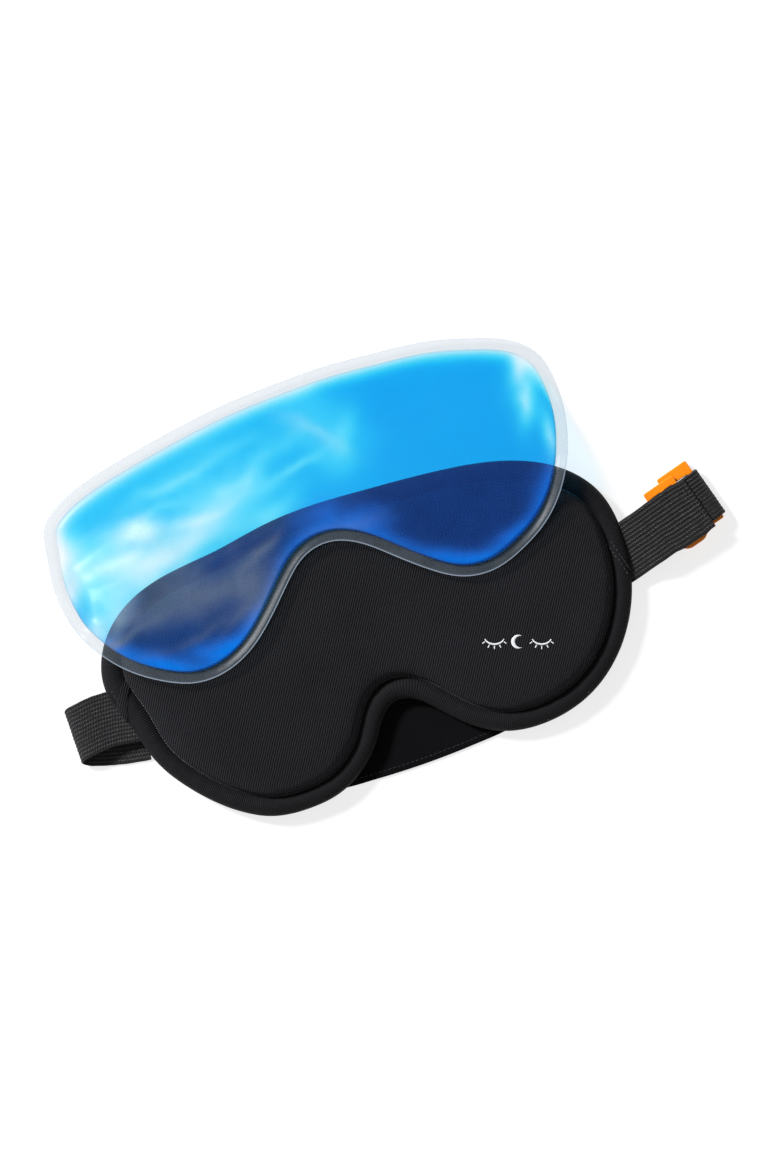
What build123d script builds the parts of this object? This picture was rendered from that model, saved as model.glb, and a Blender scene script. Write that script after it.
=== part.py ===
from build123d import *
import math
import os

# Padded sleep mask lying on its back, with a removable gel pack laid over its upper half.
# Millimetres. +X along the mask's width, +Y towards the forehead, +Z out of the front cover.
# Plan coordinates below are taken from the middle of the mask; everything is moved at the end
# so that the origin is at the bottom centre of the whole object.

# ---------------------------------------------------------------- driving dimensions
CENTRE_X, CENTRE_Y = 11.68, 25.37     # middle of the whole object, in mask coordinates

ROLL_W = 8.0            # width of the padded edge roll
ROLL_TOP = 7.5          # height of the edge roll
BACK_Z0, BACK_Z1 = 1.3, 2.1          # back panel
POCKET_TOP = 7.3        # top of the gel pocket
LINING_T = 0.6          # pocket lining
FOAM_Z0 = POCKET_TOP + LINING_T
CROWN_Z = 14.5          # top of the front cover
COVER_T = 1.0
MOUTH_Y = 34.0          # straight upper edge of the back panel: mouth of the pocket

STRAP_W = 22.0          # elastic width
STRAP_T = 0.8           # elastic thickness
STRAP_Z = 0.45          # middle of the strap where it lies on the table

RIGHT_X, RIGHT_Y = 106.7, -1.8       # where the short strap leaves the mask
RIGHT_DEG = 15.5                     # its direction
LEFT_X, LEFT_Y = -109.4, -4.4        # where the long strap goes under the mask
LEFT_DEG = -11.0
RUN_Y_LEFT, RUN_Y_RIGHT = -10.0, -11.2   # middle stretch of the run under the mask

BAR_W = 2.4             # slider bars, along the strap
SLIDER_L, SLIDER_WID, SLIDER_T = 14.0, 28.6, 1.8
SLIDER_B = 0.2          # offset of the slider's middle across the strap
CORNER_UP, CORNER_LOW = 0.8, 5.0     # slider corners: nearly square above, well rounded below
SLIDER_A0, SLIDER_Z0 = 19.0, 3.9     # start along the strap, underside
SLOT_WID = 22.6         # slots of the slider
RING_L, RING_WID, RING_T = 14.0, 27.6, 1.8
RING_BAR = 2.6
RING_A0, RING_Z0, RING_B = 27.0, 1.1, 2.4
RING_SLOT, RING_SLOT_B = 21.3, 0.4   # slot of the ring and its middle
NARROW = 20.8           # straps narrow where they go through the ring

FLAP_Y = -23.0          # sewn top edge of the nose flap
FLAP_T = 0.8

FILM_T = 0.4            # gel pack film
GEL_H = 5.0             # gel thickness
WELD_W = 6.0            # welded border of the gel pack

MASK = [(-48, 52.6), (-27, 56.0), (-6, 57.2), (15, 56.1), (36, 54.6), (60, 51.7), (81, 45.8),
        (95.5, 37.0), (105, 24.8), (108.5, 6), (107, -9), (101.2, -25), (90.5, -40), (75, -51.2),
        (56, -56), (39, -54.2), (25.5, -46.6), (15.5, -36.6), (7.5, -29.6), (0.5, -28),
        (-6, -32.2), (-12, -40.6), (-20, -48.8), (-31, -55), (-46, -57.3), (-61, -55.4),
        (-77, -46.0), (-90, -32.5), (-98.6, -18), (-103.2, -2), (-107.8, 12.5), (-105.8, 25.5),
        (-98.2, 36.8), (-86.3, 45.2), (-69, 50.2)]

GEL = [(-109, 84.6), (-102.6, 90), (-88, 95.8), (-69, 100), (-47, 103.9), (-25, 106.7),
       (-3, 107.8), (18, 107.9), (39, 106.3), (59, 104), (78, 98.9), (92.4, 92.6), (99.8, 85),
       (102.9, 72.5), (102.4, 60), (98.8, 47), (90.9, 31.5), (80.6, 20.4), (68, 13),
       (54.6, 8.9), (42, 10.5), (30, 17.8), (18.5, 27.6), (8, 36.3), (-3, 40.7), (-14, 38.9),
       (-24.8, 30.3), (-35.6, 19.5), (-47, 10.5), (-61, 5.3), (-71.4, 5.4), (-83.2, 10.1),
       (-97.1, 20.4), (-107.6, 35), (-112.6, 48), (-113.8, 61.4), (-112, 74)]

FLAP = [(-24, -23), (29, -23), (41, -36), (46, -47), (40, -53.2), (24, -55.2), (4, -56),
        (-16, -55.3), (-33, -53.6), (-40.5, -46), (-35, -36)]

# gel pack drape: height of its underside against Y
DRAPE = [(0, 14.9), (44, 14.9), (52, 13.6), (60, 10.6), (68, 6.8), (76, 3.2), (84, 1.1),
         (92, 0.6), (112, 0.5)]


# ---------------------------------------------------------------- helpers
def outline(points, inset=0.0, n=72):
    """Closed smooth curve through the points, then moved inwards by inset."""
    base = Spline([Vector(x, y, 0) for x, y in points], periodic=True)
    if inset == 0.0:
        return base
    out = []
    for i in range(n):
        p, t = base @ (i / n), base % (i / n)
        q = Vector(p.X + t.Y * inset, p.Y - t.X * inset, 0)   # points run clockwise
        out.append(q)
    return Spline(out, periodic=True)


def region(points, inset=0.0, z=0.0):
    return Pos(0, 0, z) * make_face(outline(points, inset))


def slab(points, inset, z0, z1):
    return Pos(0, 0, z0) * extrude(make_face(outline(points, inset)), z1 - z0)


def dome(points, sections):
    return loft([region(points, i, z) for i, z in sections], ruled=True)


def ribbon(path, t):
    """Closed outline of a strip of thickness t that follows the path, as 2-D points."""
    def side(sign):
        out = []
        for i, (x, y) in enumerate(path):
            before = path[i - 1] if i else None
            after = path[i + 1] if i + 1 < len(path) else None
            ds = []
            for a, b in ((before, (x, y)), ((x, y), after)):
                if a is not None and b is not None:
                    l = math.hypot(b[0] - a[0], b[1] - a[1])
                    ds.append(((b[0] - a[0]) / l, (b[1] - a[1]) / l))
            mx, my = sum(d[0] for d in ds), sum(d[1] for d in ds)
            l = math.hypot(mx, my)
            mx, my = mx / l, my / l
            c = mx * ds[0][0] + my * ds[0][1]
            k = sign * t / 2 / max(c, 0.5)
            out.append((x - my * k, y + mx * k))
        return out
    return side(1) + side(-1)[::-1]


def strip(path, t, width, middle=0.0):
    """The strip's profile lies in a plane of (along, height) and is as wide as the strap."""
    pts = ribbon(path, t)
    face = make_face(Polyline([Vector(a, 0, z) for a, z in pts], close=True))
    solid = extrude(face, width, dir=(0, 1, 0))
    return Pos(0, middle - width / 2, 0) * solid


def at_right(shape):
    return Pos(RIGHT_X, RIGHT_Y, 0) * Rot(0, 0, RIGHT_DEG) * shape


def bar(l, w, h, x=0, y=0, z=0):
    return Pos(x, y, z) * Box(l, w, h, align=(Align.CENTER, Align.CENTER, Align.MIN))


def rounded(l, w, r, h):
    return extrude(RectangleRounded(l, w, r), h)


nodes = {}

# ---------------------------------------------------------------- straps
# long strap, first part: out of the mask's left edge, round a soft loop, back under the mask
loop_path = [(10, 4.3), (2, 4.5), (-5, 5.3), (-10.5, 6.2), (-14.5, 5.6), (-16.5, 4.0),
             (-16.6, 2.2), (-15, 0.75), (-12.5, STRAP_Z), (0, STRAP_Z)]
nodes["long_strap_loop"] = Pos(LEFT_X, LEFT_Y + 2.3, 0) * Rot(0, 0, -4) * strip(
    loop_path, STRAP_T, STRAP_W)


def run_centre():
    """Middle line of the run: the left heading, a level middle stretch, the right heading."""
    u = (math.cos(math.radians(LEFT_DEG)), math.sin(math.radians(LEFT_DEG)))
    v = (math.cos(math.radians(RIGHT_DEG)), math.sin(math.radians(RIGHT_DEG)))
    a = (LEFT_X, LEFT_Y)
    b = (LEFT_X + u[0] * 30, LEFT_Y + u[1] * 30)
    d = (RIGHT_X, RIGHT_Y)
    c = (RIGHT_X - v[0] * 38, RIGHT_Y - v[1] * 38)
    e = (RIGHT_X + v[0] * 9, RIGHT_Y + v[1] * 9)
    return a, b, c, d, e


def bezier(p, q, r, k):
    return ((1 - k) ** 2 * p[0] + 2 * k * (1 - k) * q[0] + k * k * r[0],
            (1 - k) ** 2 * p[1] + 2 * k * (1 - k) * q[1] + k * k * r[1])


A_, B_, C_, D_, E_ = run_centre()
M_ = ((B_[0] + C_[0]) / 2, (B_[1] + C_[1]) / 2)
L_ = (B_[0] * 0.5 + M_[0] * 0.5, B_[1] * 0.5 + M_[1] * 0.5)
R_ = (C_[0] * 0.5 + M_[0] * 0.5, C_[1] * 0.5 + M_[1] * 0.5)
centre = [bezier(A_, B_, L_, k / 8) for k in range(9)]
centre += [bezier(R_, C_, D_, k / 8) for k in range(9)]
centre += [E_]
centre[0] = (A_[0] + 0.3, A_[1])
run_points = ribbon(centre, STRAP_W)
run = extrude(make_face(Polyline([Vector(x, y, 0) for x, y in run_points], close=True)), STRAP_T)
run = Pos(0, 0, STRAP_Z - STRAP_T / 2) * run
nodes["long_strap_run"] = run - nodes["long_strap_loop"]

# long strap, last part: up from the run, under, over and under the slider's bars, round the
# ring's inner bar and back towards the slider
weave_path = [(9.2, STRAP_Z), (12, 0.7), (15, 1.9), (18, 3.1), (21.4, 3.35), (22.5, 4.6),
              (23.2, 6.2), (24.0, 7.05), (28.0, 7.05), (28.9, 6.2), (29.5, 4.6), (30.6, 3.4),
              (33.4, 3.4), (34.6, 2.5), (34.2, 1.2), (32.8, 0.55), (31, STRAP_Z),
              (27.2, STRAP_Z), (25.9, 0.9), (25.6, 1.9), (25.7, 2.9)]
weave = at_right(strip(weave_path, STRAP_T * 0.95, NARROW, RING_SLOT_B))
nodes["long_strap_weave"] = weave

# end of the long strap, sewn as a sleeve round the slider's centre bar
mid_a = SLIDER_A0 + SLIDER_L / 2
sleeve = Pos(mid_a, 0, SLIDER_Z0 - 0.7) * Box(
    BAR_W + 1.2, STRAP_W, SLIDER_T + 1.3, align=(Align.CENTER, Align.CENTER, Align.MIN))
hole = Pos(mid_a, 0, SLIDER_Z0) * Box(
    BAR_W, STRAP_W + 2, SLIDER_T, align=(Align.CENTER, Align.CENTER, Align.MIN))
nodes["long_strap_end"] = at_right(sleeve - hole)

# short strap: from the mask's right edge over the slider, round the ring's outer bar, and its
# end sewn back under itself
short_path = [(-6, 4.1), (0.5, 4.4), (3.5, 5.1), (6.5, 6.4), (9.5, 7.6), (13, 8.0), (33.0, 8.0),
              (36.5, 7.2), (39.9, 5.6), (42.1, 3.7), (42.28, 1.9), (41.5, 0.85), (39.9, STRAP_Z),
              (38.2, STRAP_Z), (37.0, 1.4), (36.2, 3.4), (35.4, 5.4), (34.0, 6.7), (31.4, 7.15)]
narrow = Pos(28, RING_SLOT_B - 20 - NARROW / 2, -1) * Box(20, 20, 8.0, align=Align.MIN)
narrow += Pos(34.9, RING_SLOT_B - 20 - NARROW / 2, -1) * Box(20, 20, 20, align=Align.MIN)
narrow += Pos(0, 2 * 10 + NARROW, 0) * narrow
nodes["short_strap"] = at_right(strip(short_path, STRAP_T, STRAP_W) - narrow)
nodes["short_strap_stitch"] = at_right(bar(0.7, STRAP_W - 3, 0.35, 34.2, 0, 8.28))

# ---------------------------------------------------------------- plastic fittings
s = bar(SLIDER_L, SLIDER_WID, SLIDER_T)
s = fillet(s.edges().filter_by(Axis.Z).group_by(Axis.Y)[0], CORNER_LOW)
s = fillet(s.edges().filter_by(Axis.Z).group_by(Axis.Y)[-1], CORNER_UP)
slot = (SLIDER_L - 3 * BAR_W) / 2
for k in (-1, 1):
    s -= bar(slot, SLOT_WID, 5, k * (BAR_W + slot) / 2, -SLIDER_B, -1)
s = fillet(s.edges().group_by(Axis.Z)[-1] + s.edges().group_by(Axis.Z)[0], 0.35)
nodes["slider"] = at_right(Pos(mid_a, SLIDER_B, SLIDER_Z0) * s)

r = rounded(RING_L, RING_WID, CORNER_UP, RING_T)
r -= bar(RING_L - 2 * RING_BAR, RING_SLOT, 5, 0, RING_SLOT_B - RING_B, -1)
r = fillet(r.edges().group_by(Axis.Z)[-1] + r.edges().group_by(Axis.Z)[0], 0.35)
nodes["strap_ring"] = at_right(Pos(RING_A0 + RING_L / 2, RING_B, RING_Z0) * r)

# ---------------------------------------------------------------- nose flap
flap_face = make_face(Polyline([Vector(x, y, 0) for x, y in FLAP], close=True))
nodes["nose_flap"] = Pos(0, 0, 0.0) * extrude(flap_face, FLAP_T)

# ---------------------------------------------------------------- mask layers
roll = slab(MASK, 0, 0, ROLL_TOP) - slab(MASK, ROLL_W, -1, ROLL_TOP + 1)
# room under the roll for the straps and the flap
clear = Pos(0, 0, -1) * extrude(make_face(Polyline(
    [Vector(x, y, 0) for x, y in ribbon([(centre[0][0] - 40, centre[0][1] + 7.6)] + centre[1:-1]
     + [(centre[-1][0] + 30, centre[-1][1] + 8)], STRAP_W + 3)], close=True)), 1 + 1.2)
flap_clear = Pos(0, 0, -1) * extrude(offset(flap_face, 1.2), 1 + 1.2)
roll = roll - clear - flap_clear
roll = roll - nodes["long_strap_loop"] - nodes["short_strap"]
nodes["edge_roll"] = roll

back = slab(MASK, ROLL_W + 0.02, BACK_Z0, BACK_Z1) - bar(260, 60, 10, 0, MOUTH_Y + 30, -2)
nodes["back_panel"] = back
hem = slab(MASK, ROLL_W + 1.5, BACK_Z0 - 0.7, BACK_Z0) & bar(260, 4.5, 10, 0, MOUTH_Y - 2.25, -2)
nodes["pocket_hem"] = hem

outer = dome(MASK, [(ROLL_W + 0.02, 5.0), (ROLL_W + 0.02, 8.4), (11.0, 11.6), (16.0, 13.6),
                    (24.0, CROWN_Z)])
inner = dome(MASK, [(ROLL_W + COVER_T, 4.0), (ROLL_W + COVER_T, 8.2), (11.9, 10.9),
                    (16.6, 12.7), (24.4, CROWN_Z - COVER_T)])
nodes["front_cover"] = outer - inner
below = bar(300, 200, 20, 0, 0, FOAM_Z0 - 20)
nodes["foam_core"] = inner - below
nodes["pocket_lining"] = slab(MASK, ROLL_W + COVER_T, POCKET_TOP, FOAM_Z0)
piping = slab(MASK, ROLL_W - 0.5, ROLL_TOP, ROLL_TOP + 0.7) - slab(MASK, ROLL_W + 0.02, 0, 20)
nodes["seam_piping"] = piping

# thread tacks that hold the straps in the edge roll, and the row along the flap's top
nodes["strap_tack_right"] = at_right(
    bar(0.8, 17, 0.5, -4.6, 0, ROLL_TOP) + bar(0.8, 17, 0.5, -2.4, 0, ROLL_TOP)) & (slab(
    MASK, 0.4, 0, 20) - slab(MASK, ROLL_W - 0.8, 0, 20))
nodes["strap_tack_left"] = Pos(-104.2, 8.5, ROLL_TOP) * Rot(0, 0, -12) * (
    bar(0.8, 12, 0.5, 0, 0, 0))
nodes["nose_flap_stitch"] = bar(34, 0.7, 0.35, 2.5, FLAP_Y - 1.4, FLAP_T)

# ---------------------------------------------------------------- gel pack
def drape(lo, hi):
    """Solid between two heights above the gel pack's underside, along the whole width."""
    base = Spline([Vector(0, y, z) for y, z in DRAPE[1:]], tangents=((0, 1, 0), (0, 1, 0)))
    y0 = DRAPE[0][0]
    z0 = DRAPE[0][1]
    a, b = Pos(0, 0, lo) * base, Pos(0, 0, hi) * base
    ends = [Line(a @ 1, b @ 1), Line(b @ 0, Vector(0, y0, z0 + hi)),
            Line(Vector(0, y0, z0 + hi), Vector(0, y0, z0 + lo)),
            Line(Vector(0, y0, z0 + lo), a @ 0)]
    return Pos(-130, 0, 0) * extrude(make_face([a, b] + ends), 260, dir=(1, 0, 0))


def gel_column(inset):
    return slab(GEL, inset, -5, 40)


fill = drape(FILM_T, FILM_T + GEL_H) & gel_column(WELD_W + FILM_T)
nodes["gel_fill"] = fill
nodes["gel_film_back"] = drape(0, FILM_T) & gel_column(0)
rim = (drape(FILM_T, 2 * FILM_T) & gel_column(0)) - gel_column(WELD_W)
cap = (drape(FILM_T, 2 * FILM_T + GEL_H) & gel_column(WELD_W)) - (
    drape(FILM_T, FILM_T + GEL_H) & gel_column(WELD_W + FILM_T))
nodes["gel_film_front"] = rim + cap

# ---------------------------------------------------------------- write
os.makedirs("parts", exist_ok=True)
lo = [1e9] * 3
hi = [-1e9] * 3
for name, shape in nodes.items():
    shape = Pos(-CENTRE_X, -CENTRE_Y, 0) * shape
    solids = shape.solids()
    shape = solids[0] if len(solids) == 1 else Compound(children=list(solids))
    b = shape.bounding_box()
    for i, (p, q) in enumerate(zip(b.min, b.max)):
        lo[i], hi[i] = min(lo[i], p), max(hi[i], q)
    export_step(shape, f"parts/{name}.step")
    print(f"{name:22s} solids {len(solids)} volume {shape.volume:10.1f}")
print("box", [round(v, 2) for v in lo], [round(v, 2) for v in hi],
      "centre", round((lo[0] + hi[0]) / 2, 3), round((lo[1] + hi[1]) / 2, 3))
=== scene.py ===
import math

import bmesh
import bpy
import numpy as np
from mathutils import Matrix, Vector
from mathutils.geometry import delaunay_2d_cdt


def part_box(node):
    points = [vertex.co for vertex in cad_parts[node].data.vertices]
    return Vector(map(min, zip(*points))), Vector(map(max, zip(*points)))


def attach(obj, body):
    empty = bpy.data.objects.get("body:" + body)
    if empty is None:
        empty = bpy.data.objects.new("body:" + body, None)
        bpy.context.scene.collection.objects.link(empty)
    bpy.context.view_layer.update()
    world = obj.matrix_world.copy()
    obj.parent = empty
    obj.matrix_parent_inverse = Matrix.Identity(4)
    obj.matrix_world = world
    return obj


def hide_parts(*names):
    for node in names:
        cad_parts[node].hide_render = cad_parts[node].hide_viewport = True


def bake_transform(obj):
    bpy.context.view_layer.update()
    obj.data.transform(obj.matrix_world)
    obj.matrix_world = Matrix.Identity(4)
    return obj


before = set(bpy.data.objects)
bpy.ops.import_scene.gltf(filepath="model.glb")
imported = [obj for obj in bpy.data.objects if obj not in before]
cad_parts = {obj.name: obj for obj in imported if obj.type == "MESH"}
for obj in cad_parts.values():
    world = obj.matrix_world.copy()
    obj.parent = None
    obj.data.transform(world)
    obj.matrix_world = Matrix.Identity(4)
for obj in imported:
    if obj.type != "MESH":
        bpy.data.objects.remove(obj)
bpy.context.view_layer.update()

MM = 0.001

# ------------------------------------------------------------------ outlines, mm, mask coordinates
MASK = [(-48, 52.6), (-27, 56.0), (-6, 57.2), (15, 56.1), (36, 54.6), (60, 51.7), (81, 45.8),
        (95.5, 37.0), (105, 24.8), (108.5, 6), (107, -9), (101.2, -25), (90.5, -40), (75, -51.2),
        (56, -56), (39, -54.2), (25.5, -46.6), (15.5, -36.6), (7.5, -29.6), (0.5, -28),
        (-6, -32.2), (-12, -40.6), (-20, -48.8), (-31, -55), (-46, -57.3), (-61, -55.4),
        (-77, -46.0), (-90, -32.5), (-98.6, -18), (-103.2, -2), (-107.8, 12.5), (-105.8, 25.5),
        (-98.2, 36.8), (-86.3, 45.2), (-69, 50.2)]
GEL = [(-109, 84.6), (-102.6, 90), (-88, 95.8), (-69, 100), (-47, 103.9), (-25, 106.7),
       (-3, 107.8), (18, 107.9), (39, 106.3), (59, 104), (78, 98.9), (92.4, 92.6), (99.8, 85),
       (102.9, 72.5), (102.4, 60), (98.8, 47), (90.9, 31.5), (80.6, 20.4), (68, 13),
       (54.6, 8.9), (42, 10.5), (30, 17.8), (18.5, 27.6), (8, 36.3), (-3, 40.7), (-14, 38.9),
       (-24.8, 30.3), (-35.6, 19.5), (-47, 10.5), (-61, 5.3), (-71.4, 5.4), (-83.2, 10.1),
       (-97.1, 20.4), (-107.6, 35), (-112.6, 48), (-113.8, 61.4), (-112, 74)]
FLAP = [(-24, -23), (2.5, -23), (29, -23), (36, -29), (41, -36), (46, -47), (44.5, -51.5),
        (40, -53.5), (24, -55.0), (4, -55.7), (-16, -55.2), (-33, -53.8), (-39, -51), (-40.5, -46),
        (-38.5, -41), (-35, -36), (-30.5, -29.5)]
DRAPE = [(-200, 14.9), (0, 14.9), (44, 14.9), (52, 13.6), (60, 10.6), (68, 6.8), (76, 3.2),
         (84, 1.1), (92, 0.6), (112, 0.5), (200, 0.5)]
STRAP_W = 22.0
VIEW_DEG = 19.25
RIGHT = (106.7, -1.8, 15.5)
LEFT = (-109.4, -4.4)


# ------------------------------------------------------------------ numbers
def smooth(t):
    t = np.clip(t, 0, 1)
    return t * t * (3 - 2 * t)


def periodic(points, n):
    """Closed C2 cubic through the points: positions, tangents, inward normals, arc length."""
    p = np.array(points, float)
    k = len(p)
    h = np.linalg.norm(np.roll(p, -1, 0) - p, axis=1)
    a = np.zeros((k, k))
    b = np.zeros((k, 2))
    for i in range(k):
        a[i, (i - 1) % k] += h[i - 1]
        a[i, i] += 2 * (h[i - 1] + h[i])
        a[i, (i + 1) % k] += h[i]
        b[i] = 6 * ((p[(i + 1) % k] - p[i]) / h[i] - (p[i] - p[i - 1]) / h[i - 1])
    m = np.linalg.solve(a, b)
    out = []
    for i in range(k):
        t = np.linspace(0, 1, 60, endpoint=False)[:, None] * h[i]
        q, r = p[i], p[(i + 1) % k]
        mi, mj = m[i], m[(i + 1) % k]
        u = h[i] - t
        out.append(mi * u ** 3 / (6 * h[i]) + mj * t ** 3 / (6 * h[i])
                   + (q / h[i] - mi * h[i] / 6) * u + (r / h[i] - mj * h[i] / 6) * t)
    d = np.concatenate(out)
    return even(d, n, True)


def even(d, n, closed):
    """The polyline d at n even steps: positions, tangents, left-hand normals, arc length."""
    e = np.vstack([d, d[:1]]) if closed else d
    s = np.concatenate([[0], np.cumsum(np.linalg.norm(np.diff(e, axis=0), axis=1))])
    at = np.linspace(0, s[-1], n, endpoint=not closed)
    p = np.stack([np.interp(at, s, e[:, c]) for c in range(e.shape[1])], 1)
    if closed:
        t = np.roll(p, -1, 0) - np.roll(p, 1, 0)
    else:
        t = np.gradient(p, axis=0)
    t /= np.linalg.norm(t, axis=1)[:, None]
    nrm = np.stack([t[:, 1], -t[:, 0]], 1)
    return p, t, nrm, at, s[-1]


def catmull(points, step=0.35):
    p = np.array(points, float)
    e = np.vstack([2 * p[0] - p[1], p, 2 * p[-1] - p[-2]])
    out = []
    for i in range(1, len(e) - 2):
        p0, p1, p2, p3 = e[i - 1], e[i], e[i + 1], e[i + 2]
        d = [max(np.linalg.norm(b - a) ** 0.5, 1e-3) for a, b in ((p0, p1), (p1, p2), (p2, p3))]
        t0, t1 = 0.0, d[0]
        t2 = t1 + d[1]
        t3 = t2 + d[2]
        t = np.linspace(t1, t2, 24, endpoint=False)[:, None]
        a1 = (t1 - t) / (t1 - t0) * p0 + (t - t0) / (t1 - t0) * p1
        a2 = (t2 - t) / (t2 - t1) * p1 + (t - t1) / (t2 - t1) * p2
        a3 = (t3 - t) / (t3 - t2) * p2 + (t - t2) / (t3 - t2) * p3
        b1 = (t2 - t) / (t2 - t0) * a1 + (t - t0) / (t2 - t0) * a2
        b2 = (t3 - t) / (t3 - t1) * a2 + (t - t1) / (t3 - t1) * a3
        out.append((t2 - t) / (t2 - t1) * b1 + (t - t1) / (t2 - t1) * b2)
    out.append(p[-1:])
    d = np.concatenate(out)
    length = np.linalg.norm(np.diff(d, axis=0), axis=1).sum()
    return even(d, max(8, int(length / step)), False)[0]


_lattice = {}


def noise(x, y, scale, seed):
    """Smooth value noise, -1 to 1."""
    if seed not in _lattice:
        _lattice[seed] = np.random.RandomState(seed).rand(64, 64) * 2 - 1
    g = _lattice[seed]
    u, v = np.asarray(x) / scale, np.asarray(y) / scale
    i, j = np.floor(u).astype(int), np.floor(v).astype(int)
    a, b = smooth(u - i), smooth(v - j)
    i0, i1, j0, j1 = i % 64, (i + 1) % 64, j % 64, (j + 1) % 64
    return ((g[i0, j0] * (1 - a) + g[i1, j0] * a) * (1 - b)
            + (g[i0, j1] * (1 - a) + g[i1, j1] * a) * b)


def fbm(x, y, scale, seed, octaves=4):
    return sum(noise(x + 37 * k, y - 19 * k, scale / 2 ** k, seed + k) / 2 ** k
               for k in range(octaves)) / 1.6


def distance(p, loop, block=2500):
    """Distance from each point to a densely sampled closed polyline (to its segments)."""
    a = loop
    b = np.roll(loop, -1, 0)
    ab = b - a
    l2 = (ab ** 2).sum(1)
    out = np.empty(len(p))
    for k in range(0, len(p), block):
        q = p[k:k + block]
        ap = q[:, None, :] - a[None]
        t = np.clip((ap * ab[None]).sum(2) / l2[None], 0, 1)
        out[k:k + block] = np.sqrt(((ap - t[..., None] * ab[None]) ** 2).sum(2).min(1))
    return out


def inside(p, loop):
    x, y = p[:, 0], p[:, 1]
    res = np.zeros(len(p), bool)
    b = np.roll(loop, -1, 0)
    for (x0, y0), (x1, y1) in zip(loop, b):
        hit = (y0 > y) != (y1 > y)
        if y1 != y0:
            res ^= hit & (x < (x1 - x0) * (y - y0) / (y1 - y0) + x0)
    return res


# ------------------------------------------------------------------ frame offset
mask_p, mask_t, mask_n, mask_s, mask_len = periodic(MASK, 1240)
lo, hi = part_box("edge_roll")
OFF = np.array([(lo.x + hi.x) / 2 / MM - (mask_p[:, 0].min() + mask_p[:, 0].max()) / 2,
                (lo.y + hi.y) / 2 / MM - (mask_p[:, 1].min() + mask_p[:, 1].max()) / 2, 0.0])


# ------------------------------------------------------------------ meshes
def build(name, verts, faces, body=None, mats=(), replaces=(), uv=None, attrs=None,
          flat=False, outward=True):
    """verts in mm and mask coordinates. uv is one pair per face corner, in metres."""
    v = (np.asarray(verts, float) + OFF) * MM
    me = bpy.data.meshes.new(name)
    me.from_pydata(v.tolist(), [], [list(map(int, f)) for f in faces])
    if uv is not None:
        layer = me.uv_layers.new(name="UVMap")
        layer.data.foreach_set("uv", np.asarray(uv, np.float32).ravel())
    for key, val in (attrs or {}).items():
        val = np.asarray(val, np.float32)
        if val.ndim == 1:
            me.attributes.new(key, "FLOAT", "POINT").data.foreach_set("value", val)
        else:
            col = np.concatenate([val, np.ones((len(val), 1), np.float32)], 1)
            me.attributes.new(key, "FLOAT_COLOR", "POINT").data.foreach_set("color", col.ravel())
    if outward:
        bm = bmesh.new()
        bm.from_mesh(me)
        bmesh.ops.recalc_face_normals(bm, faces=bm.faces)
        bm.to_mesh(me)
        bm.free()
    me.polygons.foreach_set("use_smooth", [not flat] * len(me.polygons))
    me.update()
    o = bpy.data.objects.new(name, me)
    bpy.context.scene.collection.objects.link(o)
    for m in mats:
        me.materials.append(m)
    if replaces:
        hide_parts(*replaces)
    if body:
        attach(o, body)
    return o


def grid(n, m, close_i, close_j, u=None, v=None):
    """Quads of an n by m sheet of points, and their corners' (u, v) in metres."""
    i, j = np.meshgrid(np.arange(n if close_i else n - 1), np.arange(m if close_j else m - 1),
                       indexing="ij")
    i, j = i.ravel(), j.ravel()
    i2, j2 = (i + 1) % n, (j + 1) % m
    f = np.stack([i * m + j, i2 * m + j, i2 * m + j2, i * m + j2], 1)
    if u is None:
        return f, None
    uu = np.stack([u[i], u[i + 1], u[i + 1], u[i]], 1)
    vv = np.stack([v[j], v[j], v[j + 1], v[j + 1]], 1)
    return f, np.stack([uu, vv], 2).reshape(-1, 2) * MM


def plan(loop, insets, spacing, extra=None):
    """Flat triangles over a closed outline: rings near the edge and an even grid inside.
    Returns points, triangles, and the indices of the outline's own points in order."""
    _, t, nrm, _, _ = even(loop, len(loop), True)
    pts = [loop]
    for k, d in enumerate(insets):
        step = 1 if d < 3 else 2
        ring = (loop + nrm * d)[::step]
        ring = ring[inside(ring, loop)]
        keep = distance(ring, loop) > d * 0.93
        pts.append(ring[keep])
    last = insets[-1] if len(insets) else 0
    lo2, hi2 = loop.min(0), loop.max(0)
    gx = np.arange(lo2[0], hi2[0], spacing)
    gy = np.arange(lo2[1], hi2[1], spacing * 0.866)
    g = np.array([(x + (spacing / 2 if r % 2 else 0), y) for r, y in enumerate(gy) for x in gx])
    g = g[inside(g, loop)]
    g = g[distance(g, loop) > last + 0.6 * spacing]
    pts.append(g)
    allp = np.concatenate(pts)
    n = len(loop)
    edges = [(i, (i + 1) % n) for i in range(n)]
    vs, _, fs, orig, _, _ = delaunay_2d_cdt([Vector(p) for p in allp], edges, [], 1, 1e-5)
    out = np.array([(v.x, v.y) for v in vs])
    where = {}
    for j, o in enumerate(orig):
        for i in o:
            where[i] = j
    rim = [where[i] for i in range(n)]
    tri = np.array([f for f in fs if len(f) == 3])
    return out, tri, rim


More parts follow.
